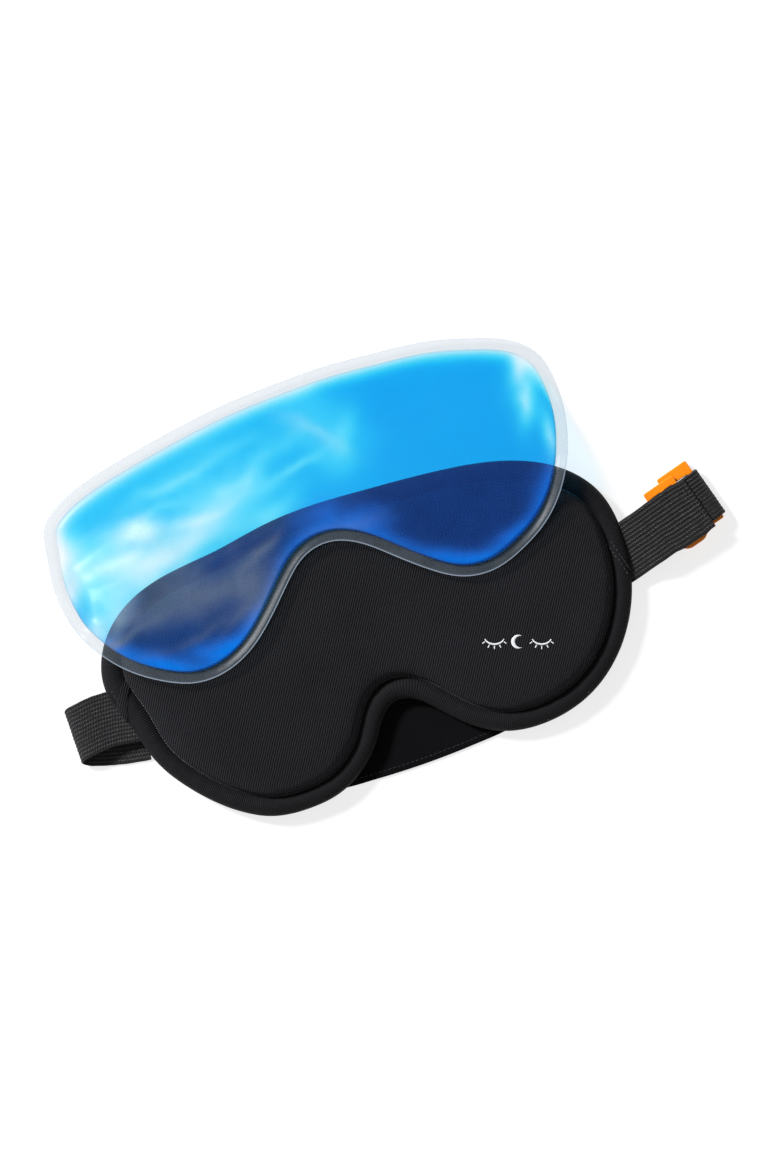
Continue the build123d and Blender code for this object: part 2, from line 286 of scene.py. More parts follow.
def slabmesh(p, tri, rim, top, bottom, mids=()):
    """Closed solid between two height fields over the same flat triangles. mids are in-between
    rows of the side wall: (share of the height, outward shift in mm)."""
    n = len(p)
    v = [np.column_stack([p, top]), np.column_stack([p, bottom])]
    f = [tri, tri[:, ::-1] + n]
    faces = [list(x) for x in np.concatenate(f)]
    rows = [list(rim)]
    base = 2 * n
    ring = p[rim]
    _, t, nrm, _, _ = even(ring, len(ring), True)
    area = 0.5 * np.sum(ring[:, 0] * np.roll(ring[:, 1], -1) - np.roll(ring[:, 0], -1) * ring[:, 1])
    out = nrm if area > 0 else -nrm
    for share, push in mids:
        z = top[rim] * (1 - share) + bottom[rim] * share
        v.append(np.column_stack([ring + out * push, z]))
        rows.append(list(range(base, base + len(rim))))
        base += len(rim)
    rows.append([r + n for r in rim])
    k = len(rim)
    for a, b in zip(rows, rows[1:]):
        faces += [[a[i], a[(i + 1) % k], b[(i + 1) % k], b[i]] for i in range(k)]
    return np.concatenate(v), faces


def merge(parts):
    """Several (verts, faces) as one."""
    vs, fs, base = [], [], 0
    for v, f in parts:
        vs.append(np.asarray(v, float))
        fs += [[int(i) + base for i in x] for x in f]
        base += len(v)
    return np.concatenate(vs), fs


def tube(path, radius, sides=8, closed=False, taper=False):
    """Round thread along a 3-D path, as (verts, faces)."""
    p = np.asarray(path, float)
    t = (np.roll(p, -1, 0) - np.roll(p, 1, 0)) if closed else np.gradient(p, axis=0)
    t /= np.maximum(np.linalg.norm(t, axis=1)[:, None], 1e-9)
    up = np.array([0, 0, 1.0])
    a = np.cross(t, up)
    weak = np.linalg.norm(a, axis=1) < 0.15
    a[weak] = np.cross(t[weak], np.array([1.0, 0, 0]))
    a /= np.linalg.norm(a, axis=1)[:, None]
    b = np.cross(t, a)
    ang = np.linspace(0, 2 * np.pi, sides, endpoint=False)
    n = len(p)
    r = np.full(n, float(radius))
    if taper and n > 3:
        r[0] = r[-1] = radius * 0.35
        r[1] = r[-2] = radius * 0.85
    v = (p[:, None] + r[:, None, None] * (np.cos(ang)[None, :, None] * a[:, None]
                                         + np.sin(ang)[None, :, None] * b[:, None])).reshape(-1, 3)
    f, _ = grid(n, sides, closed, True)
    faces = [list(x) for x in f]
    if not closed:
        faces.append(list(range(sides)))
        faces.append([(n - 1) * sides + k for k in range(sides)][::-1])
    return v, faces


# ------------------------------------------------------------------ node helpers
def start(name):
    m = bpy.data.materials.new(name)
    m.use_nodes = True
    m.node_tree.nodes.clear()
    return m, m.node_tree


def nd(nt, kind, ins=None, **props):
    n = nt.nodes.new(kind)
    for k, v in props.items():
        setattr(n, k, v)
    for k, v in (ins or {}).items():
        if isinstance(v, bpy.types.NodeSocket):
            nt.links.new(v, n.inputs[k])
        else:
            n.inputs[k].default_value = v
    return n


def math_(nt, op, a, b=None, c=None):
    ins = {0: a}
    if b is not None:
        ins[1] = b
    if c is not None:
        ins[2] = c
    return nd(nt, "ShaderNodeMath", ins, operation=op).outputs[0]


def wave(nt, value, pitch_m, phase=0.0):
    return math_(nt, "SINE", math_(nt, "MULTIPLY_ADD", value, 2 * math.pi / pitch_m, phase))


def mixc(nt, fac, a, b):
    n = nd(nt, "ShaderNodeMix", data_type="RGBA")
    for s, v in ((n.inputs[0], fac), (n.inputs[6], a), (n.inputs[7], b)):
        if isinstance(v, bpy.types.NodeSocket):
            nt.links.new(v, s)
        else:
            s.default_value = v
    return n.outputs[2]


def ramp(nt, fac, stops):
    n = nd(nt, "ShaderNodeValToRGB", {0: fac})
    el = n.color_ramp.elements
    el[0].position, el[0].color = stops[0]
    el[1].position, el[1].color = stops[1]
    for p, c in stops[2:]:
        e = el.new(p)
        e.color = c
    return n.outputs[0]


def coords(nt, use, turn=0.0):
    tc = nd(nt, "ShaderNodeTexCoord")
    vec = tc.outputs[use]
    if turn:
        vec = nd(nt, "ShaderNodeMapping", {"Vector": vec, "Rotation": (0, 0, math.radians(turn))}
                 ).outputs[0]
    sep = nd(nt, "ShaderNodeSeparateXYZ", {0: vec})
    return vec, sep.outputs


def tex(nt, vec, scale, detail=2.0, rough=0.5, distortion=0.0):
    return nd(nt, "ShaderNodeTexNoise", {"Vector": vec, "Scale": scale, "Detail": detail,
                                         "Roughness": rough, "Distortion": distortion}).outputs[0]


def out(nt, shader):
    nd(nt, "ShaderNodeOutputMaterial", {"Surface": shader})


def grey(v, a=1.0):
    return (v, v * 1.02, v * 1.38, a)


# ------------------------------------------------------------------ fabrics
def knit(name, use, turn, rib, course, dark, light, rough, sheen, depth, rib_share=0.6,
         fuzz=0.35, sheen_rough=0.35, specular=0.25):
    """Fine knit: wales at one pitch, courses across them at another, fibre fuzz over both."""
    m, nt = start(name)
    vec, (x, y, z) = coords(nt, use, turn)
    wob = math_(nt, "MULTIPLY", math_(nt, "SUBTRACT", tex(nt, vec, 220, 2), 0.5), 0.00030)
    x = math_(nt, "ADD", x, wob)
    wales = wave(nt, x, rib)
    rows = wave(nt, math_(nt, "ADD", y, math_(nt, "MULTIPLY", wales, course * 0.12)), course)
    fine = tex(nt, vec, 5200, 3, 0.6)
    broad = tex(nt, vec, 38, 3, 0.55)
    patch = tex(nt, vec, 900, 2, 0.5)
    h = math_(nt, "MULTIPLY_ADD", wales, rib_share, math_(nt, "MULTIPLY", rows, 0.28))
    h = math_(nt, "MULTIPLY_ADD", fine, fuzz, h)
    bump = nd(nt, "ShaderNodeBump", {"Height": h, "Distance": depth * MM, "Strength": 1.0})
    tone = math_(nt, "MULTIPLY_ADD", wales, 0.16, math_(nt, "MULTIPLY_ADD", broad, 0.7,
                 math_(nt, "MULTIPLY_ADD", patch, 0.5, -0.15)))
    col = ramp(nt, tone, [(0.15, grey(dark)), (0.85, grey(light))])
    r = math_(nt, "MULTIPLY_ADD", patch, 0.12, rough - 0.06)
    b = nd(nt, "ShaderNodeBsdfPrincipled", {
        "Base Color": col, "Roughness": r, "Normal": bump.outputs[0], "Sheen Weight": sheen,
        "Sheen Roughness": sheen_rough, "Sheen Tint": (0.75, 0.78, 0.9, 1),
        "Specular IOR Level": specular})
    out(nt, b.outputs[0])
    return m


def elastic_mat():
    """Woven elastic: cord-like wales along the tape, with glints of light on the filaments painted into the base
    colour as small bright dashes.
    """
    m, nt = start("black_elastic")
    vec, (u, v, w) = coords(nt, "UV")
    rib = 22.0 / 14 * MM
    row = math_(nt, "FLOOR", math_(nt, "DIVIDE", v, rib))
    shift = math_(nt, "MULTIPLY", row, 2.4)
    dash = math_(nt, "SINE", math_(nt, "ADD", math_(nt, "MULTIPLY", u, 2 * math.pi / 0.00115), shift))
    wales = wave(nt, v, rib, math.pi / 2)
    fib = tex(nt, vec, 3600, 3, 0.65)
    big = tex(nt, vec, 420, 2, 0.5)
    dashes = math_(nt, "MULTIPLY", math_(nt, "MAXIMUM", dash, 0.0), math_(nt, "MAXIMUM", wales, 0.0))
    # painted glints: this mask lightens the base colour to pale grey in short dashes on the wale crests, standing in
    # for light catching the filaments; it also lowers the roughness there
    painted_glint = math_(nt, "MULTIPLY", math_(nt, "POWER", dashes, 2.0),
                  math_(nt, "MULTIPLY", nd(nt, "ShaderNodeMapRange", {
                      0: fib, 1: 0.38, 2: 0.62, 3: 0.0, 4: 1.0}).outputs[0],
                      nd(nt, "ShaderNodeMapRange", {0: big, 1: 0.35, 2: 0.7, 3: 0.30, 4: 1.0}).outputs[0]))
    base = ramp(nt, math_(nt, "MULTIPLY_ADD", wales, 0.25, math_(nt, "MULTIPLY", fib, 0.9)),
                [(0.2, grey(0.002)), (0.8, grey(0.009))])
    # the painted glints go into the base colour here
    col = mixc(nt, painted_glint, base, (0.46, 0.45, 0.43, 1))
    h = math_(nt, "MULTIPLY_ADD", wales, 0.22, math_(nt, "MULTIPLY_ADD", dash, 0.26,
              math_(nt, "MULTIPLY", fib, 0.6)))
    bump = nd(nt, "ShaderNodeBump", {"Height": h, "Distance": 0.00034, "Strength": 1.0})
    b = nd(nt, "ShaderNodeBsdfPrincipled", {
        "Base Color": col, "Roughness": math_(nt, "MULTIPLY_ADD", painted_glint, -0.25, 0.72),
        "Normal": bump.outputs[0], "Sheen Weight": 0.04, "Sheen Roughness": 0.4,
        "Sheen Tint": (0.8, 0.82, 0.9, 1), "Specular IOR Level": 0.35})
    out(nt, b.outputs[0])
    return m


def plastic_mat():
    """Glossy injection-moulded plastic with faint flow marks and handling scuffs."""
    m, nt = start("orange_moulded_plastic")
    vec, _ = coords(nt, "Object")
    flow = tex(nt, vec, 90, 3, 0.5, 0.6)
    grain = tex(nt, vec, 2600, 2, 0.5)
    scuff = nd(nt, "ShaderNodeMapRange", {0: tex(nt, vec, 700, 4, 0.7), 1: 0.58, 2: 0.75, 3: 0.0,
                                          4: 1.0}).outputs[0]
    col = mixc(nt, flow, (0.90, 0.225, 0.0, 1), (0.95, 0.290, 0.0, 1))
    col = mixc(nt, math_(nt, "MULTIPLY", scuff, 0.06), col, (0.95, 0.45, 0.12, 1))
    h = math_(nt, "MULTIPLY_ADD", grain, 0.4, flow)
    bump = nd(nt, "ShaderNodeBump", {"Height": h, "Distance": 0.00004, "Strength": 0.5})
    b = nd(nt, "ShaderNodeBsdfPrincipled", {
        "Base Color": col, "Roughness": math_(nt, "MULTIPLY_ADD", scuff, 0.15, 0.30),
        "Normal": bump.outputs[0], "Specular IOR Level": 0.35, "Coat Weight": 0.15,
        "Coat Roughness": 0.12, "Subsurface Weight": 0.08, "Subsurface Radius": (0.004, 0.0016, 0.0004),
        "Subsurface Scale": 0.4})
    out(nt, b.outputs[0])
    return m


def thread_mat(name, tone):
    m, nt = start(name)
    vec, (x, y, z) = coords(nt, "Object")
    tw = nd(nt, "ShaderNodeTexWave", {"Vector": vec, "Scale": 700.0, "Distortion": 2.0,
                                      "Detail": 1.0}, bands_direction="DIAGONAL").outputs["Fac"]
    fib = tex(nt, vec, 6000, 2, 0.6)
    col = mixc(nt, tw, grey(tone * 0.55), grey(tone * 1.3))
    bump = nd(nt, "ShaderNodeBump", {"Height": math_(nt, "MULTIPLY_ADD", fib, 0.4, tw),
                                     "Distance": 0.00008, "Strength": 0.8})
    b = nd(nt, "ShaderNodeBsdfPrincipled", {
        "Base Color": col, "Roughness": 0.6, "Normal": bump.outputs[0], "Sheen Weight": 0.2,
        "Sheen Roughness": 0.4, "Specular IOR Level": 0.4})
    out(nt, b.outputs[0])
    return m


def foam_mat():
    m, nt = start("open_cell_foam")
    vec, _ = coords(nt, "Object")
    cells = nd(nt, "ShaderNodeTexVoronoi", {"Vector": vec, "Scale": 1400.0}).outputs["Distance"]
    broad = tex(nt, vec, 60, 3)
    col = mixc(nt, math_(nt, "MULTIPLY_ADD", broad, 0.5, math_(nt, "MULTIPLY", cells, 0.6)),
               grey(0.16), grey(0.32))
    bump = nd(nt, "ShaderNodeBump", {"Height": cells, "Distance": 0.0003, "Strength": 1.0})
    b = nd(nt, "ShaderNodeBsdfPrincipled", {"Base Color": col, "Roughness": 0.95,
                                            "Normal": bump.outputs[0], "Specular IOR Level": 0.15})
    out(nt, b.outputs[0])
    return m


def print_mat():
    """Heat-pressed white print with slight crazing over the knit."""
    m, nt = start("white_transfer_print")
    vec, _ = coords(nt, "Object")
    craze = nd(nt, "ShaderNodeTexVoronoi", {"Vector": vec, "Scale": 1500.0},
               feature="DISTANCE_TO_EDGE").outputs["Distance"]
    edge = nd(nt, "ShaderNodeMapRange", {0: craze, 1: 0.0, 2: 0.06, 3: 0.0, 4: 1.0}).outputs[0]
    mott = tex(nt, vec, 1800, 3, 0.6)
    col = mixc(nt, math_(nt, "MULTIPLY", edge, mott), (0.62, 0.63, 0.66, 1), (0.86, 0.87, 0.89, 1))
    bump = nd(nt, "ShaderNodeBump", {"Height": math_(nt, "MULTIPLY_ADD", edge, 0.5, mott),
                                     "Distance": 0.00003, "Strength": 0.7})
    b = nd(nt, "ShaderNodeBsdfPrincipled", {"Base Color": col, "Roughness": 0.5,
                                            "Normal": bump.outputs[0], "Specular IOR Level": 0.4})
    out(nt, b.outputs[0])
    return m


# ------------------------------------------------------------------ clear film and gel
def schlick(nt, base, gain, normal=None):
    lw = nd(nt, "ShaderNodeLayerWeight", {"Blend": 0.5})
    if normal is not None:
        nt.links.new(normal, lw.inputs["Normal"])
    return math_(nt, "MULTIPLY_ADD", math_(nt, "POWER", lw.outputs["Facing"], 5.0), gain, base)


def veil(nt, through, scatter, share, gloss, gloss_rough, gain=0.6, normal=None):
    """Surface that lets light straight through with a tint, scatters a share of it, and shines."""
    t = nd(nt, "ShaderNodeBsdfTransparent", {"Color": through})
    # light scattered inside a thin body hardly depends on the slope of its skin
    up = nd(nt, "ShaderNodeVectorTransform", {"Vector": (0, 0, 1)}, vector_type="NORMAL",
            convert_from="OBJECT", convert_to="WORLD")
    d = nd(nt, "ShaderNodeBsdfDiffuse", {"Color": scatter, "Roughness": 0.3, "Normal": up.outputs[0]})
    mix = nd(nt, "ShaderNodeMixShader", {0: share, 1: t.outputs[0], 2: d.outputs[0]})
    g = nd(nt, "ShaderNodeBsdfGlossy", {"Color": (1, 1, 1, 1), "Roughness": gloss_rough})
    if normal is not None:
        nt.links.new(normal, g.inputs["Normal"])
    last = nd(nt, "ShaderNodeMixShader", {0: schlick(nt, gloss, gain, normal), 1: mix.outputs[0],
                                          2: g.outputs[0]})
    out(nt, last.outputs[0])


def film_mat(name, gloss, gain):
    m, nt = start(name)
    vec, _ = coords(nt, "Object")
    weld = nd(nt, "ShaderNodeAttribute", attribute_name="weld").outputs["Fac"]
    fine = tex(nt, vec, 1100, 2, 0.5)
    cloud = tex(nt, vec, 140, 3, 0.55)
    emboss = nd(nt, "ShaderNodeTexVoronoi", {"Vector": vec, "Scale": 2200.0}).outputs["Distance"]
    rim = nd(nt, "ShaderNodeAttribute", attribute_name="rim").outputs["Fac"]
    haze = math_(nt, "MULTIPLY_ADD", weld, 0.0170, 0.0)
    haze = math_(nt, "MULTIPLY", haze, math_(nt, "MULTIPLY_ADD", cloud, 0.9, math_(
        nt, "MULTIPLY_ADD", fine, 0.08, 0.5)))
    # painted edge glow: the rim attribute adds a large scatter share at the film's outer edge, on top of the weld's
    # frosting
    haze = math_(nt, "MULTIPLY_ADD", rim, 0.17, haze)
    through = mixc(nt, weld, (0.992, 0.994, 0.995, 1), (0.938, 0.946, 0.952, 1))
    h = math_(nt, "ADD", math_(nt, "MULTIPLY", math_(nt, "MULTIPLY", emboss, weld), 0.8),
              math_(nt, "MULTIPLY", cloud, 0.6))
    bump = nd(nt, "ShaderNodeBump", {"Height": h, "Distance": 0.00005, "Strength": 0.5})
    veil(nt, through, (0.72, 0.84, 1.0, 1), haze, gloss, 0.32, gain, bump.outputs[0])
    return m


def gel_mat():
    m, nt = start("blue_gel_body")
    vec, _ = coords(nt, "Object")
    t = nd(nt, "ShaderNodeAttribute", attribute_name="gel_T").outputs["Color"]
    s = nd(nt, "ShaderNodeAttribute", attribute_name="gel_S").outputs["Color"]
    f = nd(nt, "ShaderNodeAttribute", attribute_name="gel_f").outputs["Fac"]
    wisps = tex(nt, vec, 95, 4, 0.6, 0.8)
    motes = tex(nt, vec, 900, 3, 0.6)
    k = math_(nt, "MULTIPLY_ADD", wisps, 0.55, math_(nt, "MULTIPLY_ADD", motes, 0.25, 0.60))
    share = math_(nt, "MINIMUM", math_(nt, "MULTIPLY", f, k), 0.95)
    veil(nt, t, s, share, 0.0, 0.3, 0.0)
    return m


# ------------------------------------------------------------------ the materials used
RIB_TURN = -(90 - VIEW_DEG) + 90          # wales run up the view: object X turned to lie across them
knit_front = knit("black_knit_jersey", "Object", 32, 0.92 * MM, 0.55 * MM, 0.0040, 0.0118,
                  0.86, 0.06, 0.26, 0.9)
knit_bind = knit("black_binding_knit", "UV", 0, 0.85 * MM, 0.55 * MM, 0.0022, 0.0056,
                 0.84, 0.025, 0.12, 0.7)
knit_flap = knit("black_flap_fabric", "Object", VIEW_DEG, 0.8 * MM, 0.8 * MM, 0.0010, 0.0030,
                 0.95, 0.008, 0.08, 0.5, specular=0.12)
knit_lining = knit("black_soft_lining", "Object", 0, 0.6 * MM, 0.5 * MM, 0.009, 0.020,
                   0.92, 0.35, 0.10, 0.4, 0.9)
knit_pocket = knit("black_pocket_lining", "Object", 45, 0.55 * MM, 0.55 * MM, 0.012, 0.024,
                   0.75, 0.1, 0.07, 0.5)
elastic = elastic_mat()
orange = plastic_mat()
thread = thread_mat("black_thread", 0.012)
thread_pipe = thread_mat("black_piping_cord", 0.007)
foam = foam_mat()
white_print = print_mat()
film_front_mat = film_mat("clear_film_front", 0.004, 0.30)
film_back_mat = film_mat("clear_film_back", 0.0, 0.04)
gel_body = gel_mat()

# ------------------------------------------------------------------ mask heights
ROLL_W = 8.2


def near(p, q, r):
    return np.exp(-((p[:, 0] - q[0]) ** 2 + (p[:, 1] - q[1]) ** 2) / r ** 2)


def roll_width(p):
    return ROLL_W + 1.3 * near(p, (0.5, -28), 9) + 2.0 * near(p, (-107.8, 10), 17)


seam_w = roll_width(mask_p)
seam = mask_p + mask_n * seam_w[:, None]
seam = even(seam, 1240, True)[0]


def cover_z(p, d):
    """Height of the front cover at distance d inside the seam."""
    t = 1 - np.clip(d / 16, 0, 1)
    z = 5.0 + 9.1 * (1 - t ** 2.6) ** (1 / 2.6) + 0.45 * smooth((d - 6) / 30)
    x, y = p[:, 0], p[:, 1]
    bridge = np.exp(-((x - 3 - 0.10 * (y + 20)) / 10) ** 2) * np.exp(-(np.maximum(y + 22, 0) / 30) ** 2)
    z -= 1.5 * bridge * smooth(d / 9)
    z -= 0.35 * np.exp(-((x + 20 + 0.5 * (y + 10)) / 7) ** 2) * np.exp(-((y + 8) / 22) ** 2) * smooth(d / 9)
    z += 0.14 * fbm(x, y, 34, 3) * smooth(d / 6)
    # small pulls where the cover is gathered into the seam
    z += (0.16 + 0.30 * near(p, (88, 34), 15)) * noise(x * 1.0, y * 1.0, 5.2, 11) * np.exp(-((d - 4) / 3.5) ** 2)
    return np.minimum(z, 14.68)


# ------------------------------------------------------------------ edge roll
section = np.array([(0, 3.6), (.12, 4.6), (.45, 5.6), (1.1, 6.65), (2.1, 7.4), (3.3, 7.85), (4.4, 7.95),
                    (5.4, 7.75), (6.4, 7.2), (7.2, 6.5), (7.8, 5.8), (8.25, 5.1), (8.45, 4.3),
                    (8.5, 3.4), (8.4, 2.3), (8.0, 1.5), (7.2, .95), (6.2, .5), (5.0, .2), (3.9, .12),
                    (2.9, .25), (1.9, .6), (1.1, 1.1), (.5, 1.8), (.12, 2.7)])
n_i, n_j = len(mask_p), len(section)


def run_line():
    ux, uy = math.cos(math.radians(-11)), math.sin(math.radians(-11))
    vx, vy = math.cos(math.radians(RIGHT[2])), math.sin(math.radians(RIGHT[2]))
    a = np.array(LEFT)
    b = a + np.array([ux, uy]) * 30
    d = np.array(RIGHT[:2])
    c = d - np.array([vx, vy]) * 38
    e = d + np.array([vx, vy]) * 9
    mid = (b + c) / 2
    l2, r2 = (b + mid) / 2, (c + mid) / 2
    k = np.linspace(0, 1, 40)[:, None]
    one = (1 - k) ** 2 * a + 2 * k * (1 - k) * b + k * k * l2
    two = (1 - k) ** 2 * r2 + 2 * k * (1 - k) * c + k * k * d
    return np.concatenate([one, two, e[None]])


run_c = run_line()


def corridor(p):
    """1 where a point lies over the strap run or the nose flap, fading out beside them."""
    q = np.concatenate([[run_c[0] + (-40, 7.6)], run_c, [run_c[-1] + (30, 8)]])
    seg = np.empty(len(p))
    a, b = q[:-1], q[1:]
    ab = b - a
    ap = p[:, None] - a[None]
    t = np.clip((ap * ab[None]).sum(2) / (ab ** 2).sum(1)[None], 0, 1)
    seg = np.sqrt(((ap - t[..., None] * ab[None]) ** 2).sum(2)).min(1)
    strap = 1 - smooth((seg - 12.2) / 2.0)
    fl = np.array(FLAP, float)
    fd = distance(p, fl)
    fd[inside(p, fl)] = 0
    flap = 1 - smooth((fd - 1.0) / 2.0)
    return np.maximum(strap, flap)


s = mask_s
pucker = (0.10 * noise(s, s * 0, 7.0, 21) + 0.07 * noise(s, s * 0, 3.1, 22)
          + 0.12 * noise(s, s * 0, 24.0, 23))
fold = near(mask_p, (90, 42), 5)
joint = near(mask_p, (-103.6, -0.5), 1.6)
verts = np.empty((n_i, n_j, 3))
for j, (d, z) in enumerate(section):
    k = seam_w / ROLL_W
    side = d / 8.5
    top = smooth((z - 3.5) / 4)
    dd = d * k - (0.10 * pucker * (1 - side) * 2)
    zz = z + top * (pucker + 0.35 * fold * np.sin(s * 1.5) - 0.18 * joint)
    zz = zz + top * 0.10 * noise(s, s * 0 + j * 0.8, 2.2, 25) * (0.3 + side)
    q = mask_p + mask_n * dd[:, None]
    verts[:, j, :2] = q
    verts[:, j, 2] = zz
flat = verts.reshape(-1, 3)
low = corridor(flat[:, :2])
flat[:, 2] = np.where(flat[:, 2] < 1.6, np.maximum(flat[:, 2], 1.32 * low + (1 - low) * 0.0
                                                   + np.maximum(flat[:, 2] - 0.0, 0) * 0.12), flat[:, 2])
around = np.concatenate([[0], np.cumsum(np.linalg.norm(
    np.diff(np.vstack([section, section[:1]]), axis=0), axis=1))])
faces, uv = grid(n_i, n_j, True, True, np.append(s, mask_len), around)
build("edge_roll_binding", flat, faces, "mask", [knit_bind], ["edge_roll"], uv=uv)

# overlapped end of the binding, lying on the roll like the turned edge of a bias tape
i0 = int(np.argmin(np.linalg.norm(mask_p - np.array([-103.9, -0.5]), axis=1)))
cols = np.arange(1, 12)
shift = np.interp(section[cols, 0], [0, 8.3], [0, 26]).astype(int)
rows_ = np.arange(-2, 15)
lip = np.stack([verts[(i0 + rows_ + sh) % n_i, c_] for sh, c_ in zip(shift, cols)], 1)
nrm_lip = np.zeros_like(lip)
a_ = np.gradient(lip, axis=0)
b_ = np.gradient(lip, axis=1)
nrm_lip = np.cross(a_, b_)
nrm_lip /= np.linalg.norm(nrm_lip, axis=2)[..., None]
if nrm_lip[..., 2].mean() < 0:
    nrm_lip = -nrm_lip
lift = np.array([0.02, .18, .36, .44, .46, .46, .45, .44, .42, .40, .36, .32, .26, .20, .13, .06, .0]
                )[:, None, None]
outer = lip + nrm_lip * lift
inner = lip - nrm_lip * 0.35
m_, k_ = lip.shape[:2]
both = np.concatenate([outer.reshape(-1, 3), inner.reshape(-1, 3)])
f1, _ = grid(m_, k_, False, False)
fs = [list(x) for x in f1] + [[y + m_ * k_ for y in x[::-1]] for x in f1]
edge = ([(r, 0) for r in range(m_)] + [(m_ - 1, c) for c in range(1, k_)]
        + [(r, k_ - 1) for r in range(m_ - 2, -1, -1)] + [(0, c) for c in range(k_ - 2, 0, -1)])
e_ = [r * k_ + c for r, c in edge]
fs += [[e_[i], e_[(i + 1) % len(e_)], e_[(i + 1) % len(e_)] + m_ * k_, e_[i] + m_ * k_]
       for i in range(len(e_))]
build("binding_overlap", both, fs, "mask", [knit_front])

# ------------------------------------------------------------------ piping in the seam groove
pipe_at = mask_p + mask_n * (seam_w - 0.05)[:, None]
pipe_p = even(pipe_at, 2000, True)[0]
ps = np.arange(2000)
pipe = np.column_stack([pipe_p, 6.15 + 0.10 * noise(ps / 2000 * mask_len, ps * 0, 4.0, 31)])
v, f = tube(pipe, 0.42, 8, closed=True)
build("seam_piping_cord", v, f, "mask", [thread_pipe], ["seam_piping"])

# ------------------------------------------------------------------ front cover, foam, linings
cover_loop = mask_p + mask_n * (seam_w + 0.12)[:, None]
cover_loop = even(cover_loop, 900, True)[0]
rings = [.12, .3, .55, .9, 1.35, 1.9, 2.6, 3.4, 4.4, 5.6, 7.0, 8.6]
cp, ctri, crim = plan(cover_loop, rings, 1.5)
cd = distance(cp, cover_loop)
cd[crim] = 0
ctop = cover_z(cp, cd)
cbot = np.minimum(ctop - 0.9, 5.0 + 8.3 * (1 - (1 - np.clip(cd / 16, 0, 1)) ** 2.6) ** (1 / 2.6))
cbot = np.where(cd < 0.9, 4.0, np.minimum(cbot, ctop - 0.9))
v, f = slabmesh(cp, ctri, crim, ctop, cbot)
cover = build("front_cover_knit", v, f, "mask", [knit_front], ["front_cover"])

foam_loop = even(mask_p + mask_n * (seam_w + 1.1)[:, None], 500, True)[0]
fp, ftri, frim = plan(foam_loop, [1.0, 2.2, 4.0], 3.2)
fd = distance(fp, foam_loop)
ftop = np.maximum(8.1, 5.0 + 8.0 * (1 - (1 - np.clip((fd + 1) / 16, 0, 1)) ** 2.6) ** (1 / 2.6))
ftop = np.minimum(ftop, cover_z(fp, fd + 1) - 1.1)
ftop = np.maximum(ftop, 8.0)
v, f = slabmesh(fp, ftri, frim, ftop, np.full(len(fp), 7.92))
pad = build("foam_core_pad", v, f, "mask", [foam], ["foam_core"])

lp, ltri, lrim = plan(foam_loop, [1.5, 3.5], 3.0)
lz = 7.35 + 0.10 * fbm(lp[:, 0], lp[:, 1], 26, 41)
v, f = slabmesh(lp, ltri, lrim, lz + 0.45, lz)
build("pocket_lining_sheet", v, f, "mask", [knit_pocket], ["pocket_lining"])

MOUTH = 34.0
back_loop = even(mask_p + mask_n * (seam_w - 0.6)[:, None], 700, True)[0]
keep = back_loop[:, 1] < MOUTH
first = int(np.argmax(keep & ~np.roll(keep, 1)))
back_loop = np.roll(back_loop, -first, 0)
keep = back_loop[:, 1] < MOUTH
part = back_loop[keep]
xa, xb = part[-1, 0], part[0, 0]
line_x = np.linspace(xa, xb, 150)[1:-1]
back_pts = np.concatenate([part[:-1], [[xa, MOUTH]], np.column_stack([line_x, np.full(148, MOUTH)]),
                           [[xb, MOUTH]], part[1:2]])
back_pts = np.concatenate([part, np.column_stack([line_x, np.full(len(line_x), MOUTH)])])
bp, btri, brim = plan(back_pts, [0.8, 2.0], 2.2)
bz = 1.36 + 0.16 * fbm(bp[:, 0], bp[:, 1], 40, 51) * smooth(distance(bp, back_pts) / 6) + 0.05
clear_run = corridor(bp)
bz = np.maximum(bz, 1.32)
v, f = slabmesh(bp, btri, brim, bz + 0.62, bz, [(0.5, 0.12)])
build("back_panel_cloth", v, f, "mask", [knit_lining], ["back_panel"])

# hem of the pocket mouth, folded under, with two rows of thread
hem_in = part[:, 0][part[:, 1] > MOUTH - 5]
hx0, hx1 = hem_in.min() + 1.6, hem_in.max() - 1.6
hx = np.linspace(hx0, hx1, 420)
hsec = np.array([(29.6, .98), (29.75, .72), (30.3, .62), (32, .60), (33.4, .62), (33.95, .74), (34.15, .98),
                 (33.95, 1.22), (33.4, 1.28), (32, 1.3), (30.3, 1.3), (29.75, 1.24)])
hv = np.empty((len(hx), len(hsec), 3))
for j, (y, z) in enumerate(hsec):
    hv[:, j, 0] = hx
    hv[:, j, 1] = y + 0.06 * noise(hx, hx * 0, 9, 61)
    hv[:, j, 2] = z + (0.05 * noise(hx, hx * 0 + j, 4, 62) if z < 0.9 else 0)
f, uv = grid(len(hx), len(hsec), False, True, hx - hx0, np.append(np.arange(len(hsec)) * 0.8, 9.6))
f = [list(x) for x in f]
caps = [list(range(len(hsec))), [(len(hx) - 1) * len(hsec) + k for k in range(len(hsec))][::-1]]
uv = np.concatenate([uv, np.zeros((2 * len(hsec), 2))])
build("pocket_hem_fold", hv.reshape(-1, 3), f + caps, "mask", [knit_bind], ["pocket_hem"],
      uv=uv)
parts = []
for y in (30.5, 33.2):
    for x in np.arange(hx0 + 2, hx1 - 3, 2.6):
        t = np.linspace(0, 1, 7)
        parts.append(tube(np.column_stack([x + t * 2.1, np.full(7, y), 0.66 - 0.16 * np.sin(np.pi * t) ** 0.6]),
                          0.16, 6, taper=True))
v, f = merge(parts)
build("pocket_hem_stitches", v, f, "mask", [thread])

